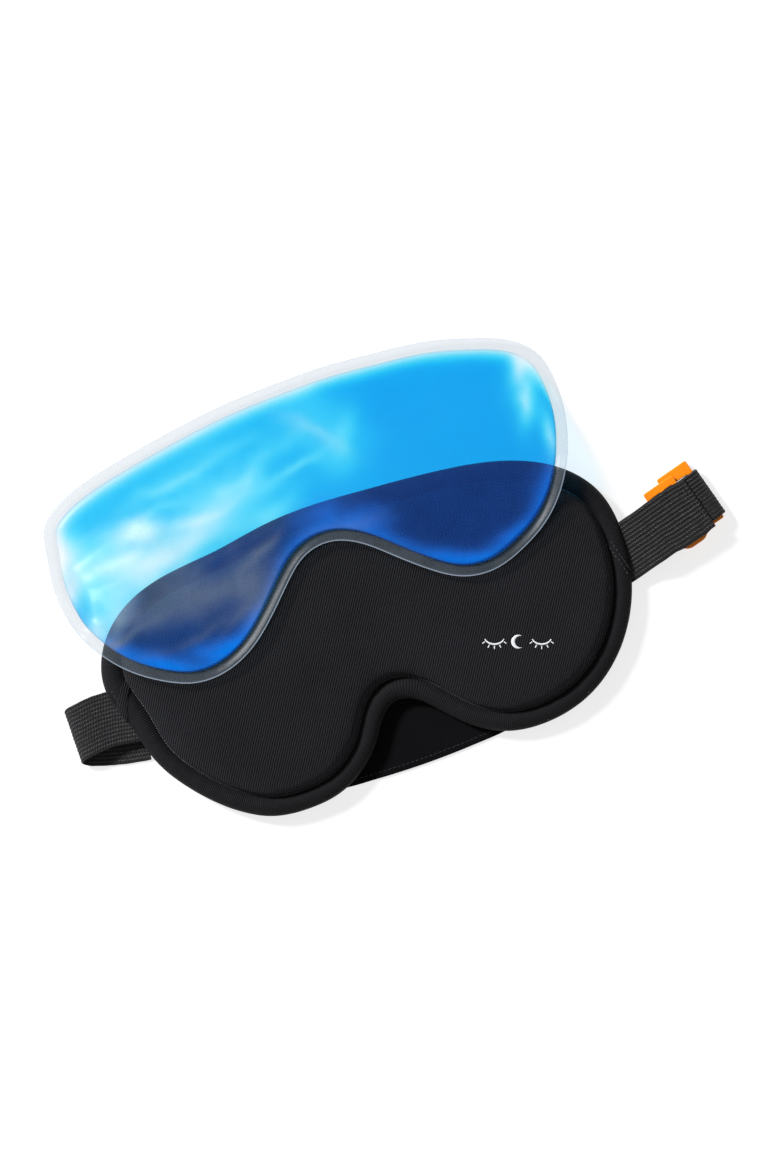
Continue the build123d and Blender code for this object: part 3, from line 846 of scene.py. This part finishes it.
# ------------------------------------------------------------------ nose flap
flap_p = even(np.array(catmull(FLAP + FLAP[:1], 0.5)), 520, True)[0]
if 0.5 * np.sum(flap_p[:, 0] * np.roll(flap_p[:, 1], -1) - np.roll(flap_p[:, 0], -1) * flap_p[:, 1]) > 0:
    flap_p = flap_p[::-1]
np_, ntri, nrim = plan(flap_p, [0.3, 0.8, 1.6, 2.6], 1.5)
nd_ = distance(np_, flap_p)
wav = 0.10 * fbm(np_[:, 0], np_[:, 1], 20, 71) * smooth(nd_ / 4)
bead = 0.16 * np.exp(-((nd_ - 1.2) / 0.8) ** 2)
nlow = 0.05 + np.maximum(wav, 0)
ntop = np.minimum(nlow + 0.62 + bead, 1.0)
v, f = slabmesh(np_, ntri, nrim, ntop, nlow, [(0.3, 0.12), (0.7, 0.12)])
flap = build("nose_flap_cloth", v, f, "nose_flap", [knit_flap], ["nose_flap"])
parts = []
for x in np.arange(-14.0, 19.0, 2.3):
    t = np.linspace(0, 1, 7)
    parts.append(tube(np.column_stack([x + t * 1.9, np.full(7, -24.4), 0.86 + 0.16 * np.sin(np.pi * t) ** 0.6]),
                      0.17, 6, taper=True))
v, f = merge(parts)
build("nose_flap_seam_thread", v, f, "mask", [thread], ["nose_flap_stitch"])
# edge stitching of the flap, on the flap itself
hem_f = flap_p + even(flap_p, 520, True)[2] * 2.2
hem_f = even(hem_f, 900, True)[0]
parts = []
for k in range(0, 900, 9):
    seg = hem_f[k:k + 7]
    if len(seg) < 7 or seg[:, 1].max() > -25:
        continue
    t = np.linspace(0, 1, 7)
    parts.append(tube(np.column_stack([seg, 0.70 + 0.15 * np.sin(np.pi * t) ** 0.6]), 0.14, 6, taper=True))
v, f = merge(parts)
flap_thread = build("nose_flap_edge_thread", v, f, "nose_flap", [thread])


# ------------------------------------------------------------------ straps
def tape(name, centre, across, normal, body, replaces, width=STRAP_W, thick=0.60, ribs=14, amp=0.17,
         per=6, seed=5, offset=None, cap_u0=0.0, spread=None):
    """Elastic tape: each wale is a real ridge on both faces, and the edges are rounded."""
    c = np.asarray(centre, float)
    n = len(c)
    k = ribs * per + 1
    b = np.linspace(-0.5, 0.5, k) * width
    ridge = amp * (0.5 + 0.5 * np.cos(2 * np.pi * ribs * (b / width + 0.5) + np.pi))
    edge_ = np.clip((width / 2 - np.abs(b)) / 0.45, 0, 1)
    h = (thick / 2) * np.sqrt(np.clip(1 - (1 - edge_) ** 2, 0.03, 1)) + ridge * edge_
    u = np.concatenate([[0], np.cumsum(np.linalg.norm(np.diff(c, axis=0), axis=1))])
    wob = 0.10 * noise(u, u * 0, 6, seed) + 0.05 * noise(u, u * 0, 1.7, seed + 1)
    if offset is not None:
        wob = wob + offset
    weave = 0.030 * np.sin(2 * np.pi * u[:, None] / 1.15 + np.arange(k)[None] / per * 2.4)
    weave = weave + 0.05 * noise(u[:, None] + 0 * b[None], b[None] + 0 * u[:, None], 1.6, seed + 2)
    grow = np.ones(n) if spread is None else np.asarray(spread, float)
    top = (c[:, None] + across[:, None] * (b[None, :] * grow[:, None] + wob[:, None])[..., None]
           + normal[:, None] * (h[None, :] + weave)[..., None])
    bot = (c[:, None] + across[:, None] * (b[None, :] * grow[:, None] + wob[:, None])[..., None]
           - normal[:, None] * (h[None, :] - weave)[..., None])
    v = np.concatenate([top, bot[:, ::-1]], 1)
    m = 2 * k
    vv = np.concatenate([b + width / 2, (b + width / 2)[::-1], [0.0]])
    f, uv = grid(n, m, False, True, u + cap_u0, vv)
    faces = [list(x) for x in f]
    caps = []
    for r in (0, n - 1):
        for q in range(k - 1):
            quad = [r * m + q, r * m + q + 1, r * m + m - 2 - q, r * m + m - 1 - q]
            caps.append(quad if r == 0 else quad[::-1])
    uv = np.concatenate([uv, np.zeros((4 * len(caps), 2))])
    o = build(name, v.reshape(-1, 3), faces + caps, body, [elastic], replaces, uv=uv)
    return o


def frames(points, heading, n=None):
    """Smooth 3-D line for a tape, with its across direction turned to the given heading (deg)."""
    p = catmull3(points)
    t = np.gradient(p, axis=0)
    t /= np.linalg.norm(t, axis=1)[:, None]
    k = np.linspace(0, 1, len(p))
    b = np.radians(np.interp(k, np.linspace(0, 1, len(heading)), heading))
    a = np.column_stack([-np.sin(b), np.cos(b), np.zeros(len(p))])
    nn = np.cross(a, t)
    nn /= np.linalg.norm(nn, axis=1)[:, None]
    return p, a, nn


def catmull3(points, step=0.35):
    p = np.array(points, float)
    e = np.vstack([2 * p[0] - p[1], p, 2 * p[-1] - p[-2]])
    res = []
    for i in range(1, len(e) - 2):
        p0, p1, p2, p3 = e[i - 1], e[i], e[i + 1], e[i + 2]
        t = np.linspace(0, 1, 20, endpoint=False)[:, None]
        res.append(0.5 * ((2 * p1) + (-p0 + p2) * t + (2 * p0 - 5 * p1 + 4 * p2 - p3) * t ** 2
                          + (-p0 + 3 * p1 - 3 * p2 + p3) * t ** 3))
    res.append(p[-1:])
    d = np.concatenate(res)
    s3 = np.concatenate([[0], np.cumsum(np.linalg.norm(np.diff(d, axis=0), axis=1))])
    at = np.linspace(0, s3[-1], max(8, int(s3[-1] / step)))
    return np.stack([np.interp(at, s3, d[:, c_]) for c_ in range(3)], 1)


def local(points, origin, deg, shift=0.0):
    """(along, height) points in a vertical plane, as centre, across and normal in 3-D."""
    p = catmull(points)
    t = np.gradient(p, axis=0)
    t /= np.linalg.norm(t, axis=1)[:, None]
    cs, sn = math.cos(math.radians(deg)), math.sin(math.radians(deg))
    centre = np.column_stack([origin[0] + p[:, 0] * cs - shift * sn, origin[1] + p[:, 0] * sn + shift * cs,
                              p[:, 1]])
    across = np.tile([-sn, cs, 0.0], (len(p), 1))
    normal = np.column_stack([-t[:, 1] * cs, -t[:, 1] * sn, t[:, 0]])
    return centre, across, normal


loop3 = [(-97, 1.0, 4.2), (-103, 2.0, 4.35), (-108, 2.7, 4.6), (-112, 2.95, 5.1), (-116, 2.85, 5.8),
         (-120, 2.4, 6.3), (-123, 1.9, 6.2), (-125, 1.35, 5.3), (-125.9, 0.8, 4.0), (-125.9, 0.1, 2.6),
         (-124.9, -0.7, 1.4), (-122.6, -1.8, 0.68), (-119, -2.9, 0.5), (-113, -4.5, 0.46),
         (-106, -6.0, 0.46), (-98, -7.2, 0.46)]
c, a, n_ = frames(loop3, [-5, -3, -1, 0, 0, 0, 0, -1, -3, -5, -7, -9, -10, -10])
tape("long_strap_loop_tape", c, a, n_, "mask", ["long_strap_loop"], seed=81)
loop_end = c[-1]

rp = even(np.concatenate([[loop_end[:2]], run_c[20:-1]]), 260, False)
rc = np.column_stack([rp[0], np.full(260, 0.46)])
ra = np.column_stack([-rp[1][:, 1], rp[1][:, 0], np.zeros(260)])
rn = np.tile([0, 0, 1.0], (260, 1))
tape("long_strap_run_tape", rc, ra, rn, "mask", ["long_strap_run"], thick=0.52, amp=0.10, seed=83)

weave_path = [(0.1, .46), (9.2, .46), (12, .7), (15, 1.9), (18, 3.1), (21.4, 3.35), (22.5, 4.6), (23.2, 6.2),
              (24, 7.02), (26, 7.12), (28, 7.02), (28.9, 6.2), (29.5, 4.6), (30.6, 3.45), (33.4, 3.4),
              (34.5, 2.5), (34.2, 1.25), (32.8, .58), (31, .46), (27.2, .46), (25.9, .9), (25.6, 1.9),
              (25.7, 2.9)]
c, a, n_ = local(weave_path, RIGHT[:2], RIGHT[2])
along = (c - np.array([RIGHT[0], RIGHT[1], 0])) @ np.array([math.cos(math.radians(RIGHT[2])),
                                                            math.sin(math.radians(RIGHT[2])), 0])
full_w = smooth((along - 18) / 3) * (1 - smooth((along - 30.2) / 1.6)) * (c[:, 2] > 3.0)
weave = tape("long_strap_woven_end", c, a, n_, None, ["long_strap_weave"], width=20.7,
             thick=0.48, amp=0.12, seed=85, offset=0.4 - 0.1 * full_w,
             spread=1 + 0.058 * full_w)

over_path = [(-6, 4.1), (-2, 4.25), (.5, 4.4), (3.5, 5.1), (6.5, 6.4), (9.5, 7.55), (13, 8.0), (20, 8.05),
             (28, 8.05), (33, 8.1), (35.0, 8.0), (35.6, 7.95)]
c, a, n_ = local(over_path, RIGHT[:2], RIGHT[2])
sw = np.linalg.norm(np.diff(c, axis=0), axis=1).cumsum()
sw = np.concatenate([[0], sw])
tape("short_strap_tape", c, a, n_, "mask", ["short_strap"], seed=87, thick=0.56, width=23.0, amp=0.12,
     offset=-0.35 + 0.25 * smooth((sw - 18) / 8) - 0.5 * smooth((sw - 34) / 7)
     - 0.45 * smooth((sw - 22) / 6) * (1 - smooth((sw - 37) / 4)),
     spread=1 + 0.039 * smooth((sw - 22) / 6) * (1 - smooth((sw - 37) / 4)))

# its end: a separate loop of the same tape, sewn under the strap and round the ring's outer bar
end_path = [(30.2, 7.12), (33, 7.12), (36, 7.0), (38.3, 6.55), (40.4, 5.5), (42.0, 3.9), (42.35, 2.4), (42.05, 1.3),
            (41.2, .72), (39.9, .5), (38.5, .55), (37.3, 1.2), (36.6, 2.4), (36.1, 3.9), (35.2, 5.3),
            (33.8, 6.0), (31.2, 6.2)]
c, a, n_ = local(end_path, RIGHT[:2], RIGHT[2])
k = np.linspace(0, 1, len(c))
end_loop = tape("short_strap_ring_loop", c, a, n_, "mask", [], seed=88, thick=0.50, amp=0.14, width=20.9,
                offset=0.45 + 0.15 * np.sin(k * np.pi))

# sleeve: the end of the long strap sewn round the slider's middle bar
mid = 26.0
half = 1.2
sl = [(mid + half + .62, 3.5), (mid + half + .62, 4.6), (mid + half + .55, 5.6), (mid + .8, 6.2),
      (mid - .8, 6.2), (mid - half - .55, 5.6), (mid - half - .62, 4.6), (mid - half - .62, 3.5)]
c, a, n_ = local(sl, RIGHT[:2], RIGHT[2])
tape("long_strap_sleeve", c, a, n_, "slider", ["long_strap_end"], thick=0.34, amp=0.07, seed=89)


# ------------------------------------------------------------------ threads on the straps
def local_pt(al, b, z):
    cs, sn = math.cos(math.radians(RIGHT[2])), math.sin(math.radians(RIGHT[2]))
    return np.array([RIGHT[0] + al * cs - b * sn, RIGHT[1] + al * sn + b * cs, z])


def row_of_stitches(point_at, b0, b1, pitch, fill=0.8, radius=0.17, rise=0.16):
    parts_ = []
    for b in np.arange(b0, b1 - pitch * fill, pitch):
        t = np.linspace(0, 1, 7)
        pts = np.array([point_at(b + q * pitch * fill, rise * np.sin(np.pi * q) ** 0.6) for q in t])
        parts_.append(tube(pts, radius, 6, taper=True))
    return parts_


parts = row_of_stitches(lambda b, h: local_pt(34.5 + 0.02 * b, b, 8.38 + h), -11.8, 9.8, 1.6, radius=0.2)
parts += row_of_stitches(lambda b, h: local_pt(32.9 + 0.02 * b, b, 8.40 + h), -11.6, 9.8, 1.6, radius=0.16)
v, f = merge(parts)
build("short_strap_stitches", v, f, "mask", [thread], ["short_strap_stitch"])


# ------------------------------------------------------------------ printed mark on the cover
def on_cover(px, py):
    """Mark coordinates (mm, along and up the mark) to mask coordinates."""
    r = math.radians(-VIEW_DEG)
    q = np.column_stack([54.3 + px * math.cos(r) - py * math.sin(r),
                         -21.4 + px * math.sin(r) + py * math.cos(r)])
    return q


def ink(outline_pts, spacing=0.45):
    q = on_cover(outline_pts[:, 0], outline_pts[:, 1])
    pts_, tri_, rim_ = plan(q, [], spacing)
    z_ = cover_z(pts_, distance(pts_, cover_loop))
    return slabmesh(pts_, tri_, rim_, z_ + 0.11, z_ - 0.10)


def stroke(line, w0, w1=None, n=26):
    """Outline of a stroke along a line, wide w0 in the middle and w1 at its ends."""
    w1 = w0 if w1 is None else w1
    p_, t_, n2, s_, l_ = even(np.asarray(line, float), n, False)
    k_ = s_ / l_
    w = w1 + (w0 - w1) * np.sin(np.pi * k_) ** 0.7
    return np.concatenate([p_ + n2 * w[:, None] / 2, (p_ - n2 * w[:, None] / 2)[::-1]])


parts = []
for cx0 in (-9.4, 9.4):
    ang = np.radians(np.linspace(200, 340, 40))
    arc = np.column_stack([cx0 + 4.0 * np.cos(ang), 2.1 + 3.1 * np.sin(ang)])
    parts.append(ink(stroke(arc, 0.72, 0.36, 40)))
    for q in (213, 243, 270, 297, 327):
        r = math.radians(q)
        p0 = np.array([cx0 + 4.35 * math.cos(r), 2.1 + 3.45 * math.sin(r) - 0.15])
        d0 = np.array([math.cos(r) * 0.9, math.sin(r)])
        parts.append(ink(stroke([p0 + d0 * 0.1, p0 + d0 * 0.8, p0 + d0 * 1.5], 0.46, 0.30, 9)))
ang = np.radians(np.linspace(62, 298, 46))
outer_a = np.column_stack([2.75 * np.cos(ang), 2.75 * np.sin(ang)])
ang2 = np.radians(np.linspace(283, 77, 46))
inner_a = np.column_stack([1.05 + 2.30 * np.cos(ang2), 2.30 * np.sin(ang2)])
parts.append(ink(np.concatenate([outer_a, inner_a])))
v, f = merge(parts)
build("printed_sleep_mark", v, f, "mask", [white_print])

# ------------------------------------------------------------------ gel pack
gel_p, gel_t, gel_n, gel_s, gel_len = periodic(GEL, 1100)
ytop_x = mask_p[(mask_p[:, 1] > 12)]
order = np.argsort(ytop_x[:, 0])
ytop_x = ytop_x[order]


def under(p):
    """Height of the pack's underside: over the mask, down its upper edge, then on the table."""
    x, y = p[:, 0], p[:, 1]
    yt = np.interp(x, ytop_x[:, 0], ytop_x[:, 1])
    ye = y + 0.5 * (57.2 - yt) * smooth((y - 25) / 25)
    dy = np.array(DRAPE, float)
    dense_y = np.linspace(-20, 130, 600)
    dense_z = np.interp(dense_y, dy[:, 0], dy[:, 1])
    ker = np.exp(-np.linspace(-2, 2, 41) ** 2)
    dense_z = np.convolve(np.pad(dense_z, 20, mode="edge"), ker / ker.sum(), "valid")
    z = np.interp(ye, dense_y, dense_z)
    z -= 1.6 * smooth((-99 - x) / 14) * smooth((80 - y) / 30)
    z -= 0.8 * smooth((x - 96) / 8) * smooth((80 - y) / 30)
    z += 0.10 * fbm(x, y, 24, 91)
    return np.clip(z, 0.35, 15.0)


WELD = 4.3


def thickness(p, d):
    """Gel thickness at distance d inside the outline."""
    x, y = p[:, 0], p[:, 1]
    full = 4.55 - 0.7 * smooth((10 - x) / 60) + 0.2 * fbm(x, y, 40, 93)
    e = np.clip((d - WELD) / 9.0, 0, 1)
    t = full * (1 - (1 - e) ** 2.3) ** (1 / 2.3)
    # soft wrinkles, longest along the pack, mostly on its left half
    r = math.radians(8)
    a1, b1 = x * math.cos(r) + y * math.sin(r), -x * math.sin(r) + y * math.cos(r)
    b1 = b1 + 5 * fbm(x, y, 30, 94)
    ridge = 1 - 2 * np.abs(noise(a1, b1 * 2.6, 26, 95))
    ridge2 = 1 - 2 * np.abs(noise(a1 + 50, b1 * 2.2 + 9, 15, 96))
    amount = 0.14 + 0.42 * smooth((25 - x) / 40)
    t += amount * (0.45 * ridge + 0.22 * ridge2 - 0.25) * smooth((d - WELD) / 8)
    return np.clip(t, 0.0, 4.85)


def rim_lift(p, d):
    """The welded rim stands at the middle of the pack's thickness, clear of what it lies on."""
    e = np.clip((d - 1.0) / 15.0, 0, 1)
    k_ = (1 - e) ** 2.2
    flank = near(p, (96, 38), 30) + 0.6 * near(p, (18, 27), 20) + 0.5 * near(p, (-42, 14), 18)
    return k_ * (2.6 + 2.0 * flank + 0.35 * noise(p[:, 0], p[:, 1], 23, 98)) * (1 - 0.45 * smooth((p[:, 1] - 70) / 20))


gp, gtri, grim = plan(gel_p, [.15, .4, .8, 1.3, 1.9, 2.6, 3.3, 3.9, WELD, 4.5, 4.8, 5.3, 6.0, 6.9, 8.2], 1.40)
gd = distance(gp, gel_p)
gd[grim] = 0
gz = under(gp) + rim_lift(gp, gd)
gt = thickness(gp, gd)
rim_drop = 0.10 * np.exp(-(gd / 0.12) ** 2)
beadz = 0.22 * np.exp(-((gd - 0.75) / 0.45) ** 2)
weld_line = 0.12 * np.exp(-((gd - WELD + 0.3) / 0.35) ** 2)
frill = 0.05 * noise(gp[:, 0], gp[:, 1], 2.4, 97) * np.exp(-((gd - 2.2) / 1.6) ** 2)
weld_amt = 1 - smooth((gd - WELD - 0.1) / 0.9)

b_low = gz + 0.5 * rim_drop
b_top = gz + 0.32
v, f = slabmesh(gp, gtri, grim, b_top, b_low, [(0.5, 0.10)])
n_extra = len(v) - 2 * len(gp)
w_all = np.concatenate([weld_amt, weld_amt, np.ones(n_extra)])
# painted glow along the film's outer edge: a thin band, stronger on the lower edges and on the side wall, stored as
# the rim attribute; it stands in for light refracted through the film and leaving at its edge
rim_glow_paint = np.exp(-(gd / 0.24) ** 2) * (0.45 + 0.55 * smooth((0.2 - (gp[:, 1] - 70) / 60) / 1.0))
rim_glow_all = np.concatenate([rim_glow_paint, rim_glow_paint, np.full(n_extra, 0.8)])
back_film = build("gel_pack_back_film", v, f, "gel_pack", [film_back_mat], ["gel_film_back"],
                  attrs={"weld": w_all, "rim": rim_glow_all})
f_low = gz + 0.36 + gt + 0.14 * smooth((gd - WELD + 1.3) / 1.0)
f_top = f_low + 0.33 + beadz + weld_line + frill - rim_drop
v, f = slabmesh(gp, gtri, grim, f_top, f_low, [(0.5, 0.12)])
front_film = build("gel_pack_front_film", v, f, "gel_pack", [film_front_mat], ["gel_film_front"],
                   attrs={"weld": w_all, "rim": rim_glow_all})

# the gel fills the space between the films: the same triangles, inside the weld
keep = np.all(gd[gtri] > WELD - 0.03, axis=1)
itri = gtri[keep]
used = np.unique(itri)
back = np.full(len(gp), -1)
back[used] = np.arange(len(used))
itri = back[itri]
ip, idist = gp[used], gd[used]
i_top = f_low[used] - 0.10
i_bot = b_top[used] + 0.06
i_top = np.maximum(i_top, i_bot + 0.03)

x, y = ip[:, 0], ip[:, 1]


def blob(cx, cy, rx, ry, rot=0.0, warp=5.0, seed=101, sharp=1.0):
    """Soft warped patch; rot is counted the way the view shows it, downwards positive."""
    a0 = math.radians(-rot - VIEW_DEG)
    wx = x + warp * fbm(x, y, 22, seed)
    wy = y + warp * fbm(x, y, 22, seed + 7)
    u_ = ((wx - cx) * math.cos(a0) + (wy - cy) * math.sin(a0)) / rx
    v_ = (-(wx - cx) * math.sin(a0) + (wy - cy) * math.cos(a0)) / ry
    return np.exp(-np.power(u_ * u_ + v_ * v_, sharp))


tau = 0.58 + 0.42 * smooth((x + 40) / 75)
tau += 0.06 * fbm(x, y, 30, 121)
pale = np.zeros(len(ip))
for args, k in (((9, 88, 12, 20, -60, 7, 131, 1.3), 0.34), ((-44, 69, 26, 6, -22, 6, 132, 1.2), 0.55),
                ((-87, 67, 15, 8, -40, 6, 133, 1.2), 0.50), ((-76, 50, 12, 14, -70, 7, 134, 1.2), 0.58),
                ((-56, 60, 24, 6, -25, 6, 135, 1.2), 0.55), ((-54, 85, 18, 3, -28, 5, 136), 0.5),
                ((-5, 72, 14, 2.6, -35, 5, 137), 0.5), ((-20, 60, 13, 4, -30, 5, 138), 0.45),
                ((14, 76, 5, 10, 0, 5, 139), 0.42), ((92, 83, 5, 12, 15, 3, 140), 0.80),
                ((90, 69, 4.5, 12, 5, 3, 141), 0.80), ((94, 52, 3, 12, -5, 2, 142), 0.75),
                ((-107, 72, 8, 10, 0, 3, 143), 0.85), ((-109, 55, 7.5, 15, 10, 2, 144), 0.85),
                ((-103, 36, 6.5, 13, 30, 2, 145), 0.75), ((-97, 62, 7, 9, -60, 5, 146), 0.3),
                ((-72, 58, 30, 11, -30, 9, 190, 1.3), 0.30), ((-66, 76, 30, 3.2, -26, 7, 191), 0.35),
                ((-24, 76, 16, 3, -45, 6, 192), 0.40), ((-30, 88, 26, 4, -18, 6, 193), 0.22)):
    pale = 1 - (1 - pale) * (1 - k * blob(*args))
pale = np.clip(1.05 * pale ** 0.95, 0, 0.93)
whit = np.zeros(len(ip))
for args, k in (((-76, 70, 10, 5, -8, 4, 151, 1.2), 0.9), ((-70, 56, 14, 4, -35, 5, 152), 0.5), ((-84, 62, 12, 4, -30, 5, 156), 0.55),
                ((-48, 67, 16, 2.6, -28, 5, 157), 0.5), ((-60, 62, 20, 5, -32, 7, 194), 0.35),
                ((-111, 62, 3.5, 12, 0, 2, 195), 0.5), ((-90, 44, 5, 12, 10, 4, 158), 0.5),
               
                ((4, 86, 3, 14, -60, 6, 153), 0.35), ((-108, 70, 4, 7, 0, 2, 154), 0.5),
                ((92, 86, 3, 9, 0, 2, 155), 0.4)):
    whit = 1 - (1 - whit) * (1 - k * blob(*args))
edge_w = 1.2 + 6.6 * smooth((y - 58) / 25) + 0.9 * fbm(x, y, 16, 122)
edge_k = smooth((idist - WELD + 0.6) / np.maximum(edge_w, 0.9))
tau = tau * (1 - pale) * (1 - 0.75 * whit) * (0.06 + 0.94 * edge_k)
haze = np.zeros(len(ip))
for args, k in (((-59, 38, 24, 8, -14, 6, 161, 1.1), 0.85), ((-76, 37, 20, 6, -10, 5, 162), 0.5),
                ((-40, 38, 8, 11, 0, 5, 163), 0.75), ((-92, 30, 18, 1.6, -32, 4, 164), 0.6),
                ((-31, 47, 10, 2.4, -40, 4, 165), 0.8), ((-62, 24, 16, 1.8, -20, 5, 166), 0.35),
                ((-45, 27, 12, 1.8, -45, 4, 167), 0.4), ((2, 44, 14, 3, -12, 4, 168), 0.15)):
    haze = 1 - (1 - haze) * (1 - k * blob(*args))
# painted glow: patches near the lower edges and the notch, plus a band along the lower weld, where the gel gets a
# brighter blue scatter colour and a larger scatter share, standing in for light piped through the gel and leaving at
# its edges
painted_glow = np.zeros(len(ip))
for args, k in (((-29, 27, 20, 4, -50, 3, 171), 0.95), ((-55, 13, 16, 4, -12, 3, 172), 0.9),
                ((-79, 13, 14, 4.5, 22, 3, 173), 0.9), ((-3, 50, 10, 8, -20, 4, 174), 0.5),
                ((12, 42, 10, 6, 0, 4, 175), 0.55), ((71, 17, 14, 4, -22, 3, 176), 0.6),
                ((40, 18, 12, 4, 12, 3, 177), 0.7), ((86, 30, 7, 12, 20, 3, 178), 0.35),
                ((-97, 24, 10, 5, 30, 3, 179), 0.5), ((55, 14, 14, 3.5, 0, 3, 180), 0.75)):
    painted_glow = 1 - (1 - painted_glow) * (1 - k * blob(*args))
painted_glow = 1 - (1 - painted_glow) * (1 - 0.60 * np.exp(-((idist - WELD) / 3.6) ** 2) * (1 - smooth((y - 45) / 25)))
alpha = np.array([6.0, 0.72, 0.11])
trans = np.exp(-0.5 * tau[:, None] * alpha[None])          # per surface: the fill has two
deep = np.array([0.050, 0.200, 0.780])
# colour of the painted glow
bright = np.array([0.000, 0.270, 0.980])
milk = np.array([0.63, 0.58, 0.80])
snow = np.array([0.92, 0.96, 0.98])
g1 = painted_glow[:, None]
scat = deep * (1 - g1) + bright * g1
h1 = haze[:, None]
scat = scat * (1 - h1) + milk * h1
w1 = np.clip(whit + 0.25 * pale, 0, 1)[:, None]
scat = scat * (1 - w1) + snow * w1
# the painted glow also raises the share of scattered light
share = 0.100 + 0.42 * painted_glow
share = share * (1 - haze) + 0.140 * haze
share = share * (1 - 0.6 * pale) + 0.22 * whit
share *= 1 - 0.40 * (1 - edge_k) * smooth((y - 50) / 20)
pairs = {(int(t[k]), int(t[(k + 1) % 3])) for t in itri for k in range(3)}
n = len(ip)
f = [list(map(int, t)) for t in itri] + [[int(q) + n for q in t[::-1]] for t in itri]
f += [[a0, b0, b0 + n, a0 + n] for a0, b0 in pairs if (b0, a0) not in pairs]
v = np.concatenate([np.column_stack([ip, i_top]), np.column_stack([ip, i_bot])])
two = lambda q: np.concatenate([q, q])
gel_o = build("gel_fill_body", v, f, "gel_pack", [gel_body], ["gel_fill"],
              attrs={"gel_T": two(trans), "gel_S": two(scat), "gel_f": two(share)})

# ------------------------------------------------------------------ strap tacks in the roll
def roll_top(p):
    """Height of the roll's upper surface at a point over it."""
    d = distance(p, mask_p)
    return np.interp(d * ROLL_W / roll_width(p), section[:13, 0], section[:13, 1])


def tack_rows(lines, rad=0.17):
    parts_ = []
    for a0, b0 in lines:
        a0, b0 = np.array(a0, float), np.array(b0, float)
        l_ = np.linalg.norm(b0 - a0)
        for q in np.arange(0, l_ - 1.4, 1.9):
            t = np.linspace(0, 1, 7)
            pts = a0 + (b0 - a0) / l_ * (q + t[:, None] * 1.5)
            z_ = roll_top(pts) + 0.02 + 0.12 * np.sin(np.pi * t) ** 0.6
            parts_.append(tube(np.column_stack([pts, z_]), rad, 6, taper=True))
    return merge(parts_)


cs, sn = math.cos(math.radians(RIGHT[2])), math.sin(math.radians(RIGHT[2]))
right_rows = [((RIGHT[0] + al * cs - b * sn * -1 * -1, RIGHT[1] + al * sn - 8.0 * cs),
               (RIGHT[0] + al * cs - 8.0 * sn, RIGHT[1] + al * sn + 8.0 * cs)) for al, b in ((-4.0, 0), (-2.2, 0))]
right_rows = []
for al in (-4.0, -2.3):
    right_rows.append((local_pt(al, -8.0, 0)[:2], local_pt(al, 8.0, 0)[:2]))
v, f = tack_rows(right_rows)
build("strap_tack_right_thread", v, f, "mask", [thread], ["strap_tack_right"])
v, f = tack_rows([((-103.0, 2.6), (-105.4, 14.4))])
build("strap_tack_left_thread", v, f, "mask", [thread], ["strap_tack_left"])

# ------------------------------------------------------------------ plastic fittings keep their CAD shape
for name in ("slider", "strap_ring"):
    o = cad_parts[name]
    o.data.materials.clear()
    o.data.materials.append(orange)

# the long strap's woven end, between the mask and the slider: its transform is baked into its mesh
p0 = (local_pt(6.0, 0, 1.0) + OFF) * MM
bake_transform(weave)

# ------------------------------------------------------------------ floor, light, camera
r = math.radians(VIEW_DEG)
cam_x = Vector((math.cos(r), -math.sin(r), 0))
cam_y = Vector((math.sin(r), math.cos(r), 0))
cam_z = Vector((0, 0, 1))
look = Vector(((12.6 + OFF[0]) * MM, (20.8 + OFF[1]) * MM, 0))

me = bpy.data.meshes.new("studio_floor")
q = 3.0
me.from_pydata([(-q, -q, -0.0004), (q, -q, -0.0004), (q, q, -0.0004), (-q, q, -0.0004)], [], [(0, 1, 2, 3)])
floor = bpy.data.objects.new("studio_floor", me)
bpy.context.scene.collection.objects.link(floor)
m, nt = start("studio_floor_paper")
b = nd(nt, "ShaderNodeBsdfPrincipled", {"Base Color": (0.26, 0.26, 0.262, 1), "Roughness": 0.9,
                                        "Emission Color": (1, 1, 1, 1), "Emission Strength": 0.76,
                                        "Specular IOR Level": 0.1})
out(nt, b.outputs[0])
me.materials.append(m)

world = bpy.data.worlds.new("studio_world")
bpy.context.scene.world = world
world.use_nodes = True
world.node_tree.nodes["Background"].inputs[0].default_value = (1.0, 1.0, 1.0, 1)
world.node_tree.nodes["Background"].inputs[1].default_value = 0.34


def area(name, direction, distance_m, size, power, size_y=None):
    d = Vector(direction).normalized()
    li = bpy.data.lights.new(name, "AREA")
    li.energy = power
    li.size = size
    if size_y:
        li.shape = "RECTANGLE"
        li.size_y = size_y
    o = bpy.data.objects.new(name, li)
    o.location = look + d * distance_m
    o.rotation_mode = "QUATERNION"
    o.rotation_quaternion = (-d).to_track_quat("-Z", "Y")
    bpy.context.scene.collection.objects.link(o)
    return o


area("key", -0.84 * cam_x + 0.55 * cam_y + 0.74 * cam_z, 2.4, 0.36, 92.0)

cam_data = bpy.data.cameras.new("camera")
cam = bpy.data.objects.new("camera", cam_data)
bpy.context.scene.collection.objects.link(cam)
cam_data.sensor_width = 36.0
cam_data.lens = 93.3
cam_data.clip_start, cam_data.clip_end = 0.05, 10.0
rot = Matrix((cam_x, cam_y, cam_z)).transposed().to_4x4()
cam.matrix_world = Matrix.Translation(look + Vector((0, 0, 1.2))) @ rot
bpy.context.scene.camera = cam
bpy.context.scene.view_settings.view_transform = "Standard"
bpy.context.scene.view_settings.look = "None"
# light crosses the clear film and the gel twice, which is more surfaces than the default allows
bpy.context.scene.cycles.transparent_max_bounces = 40
bpy.context.scene.cycles.sample_clamp_indirect = 0.6
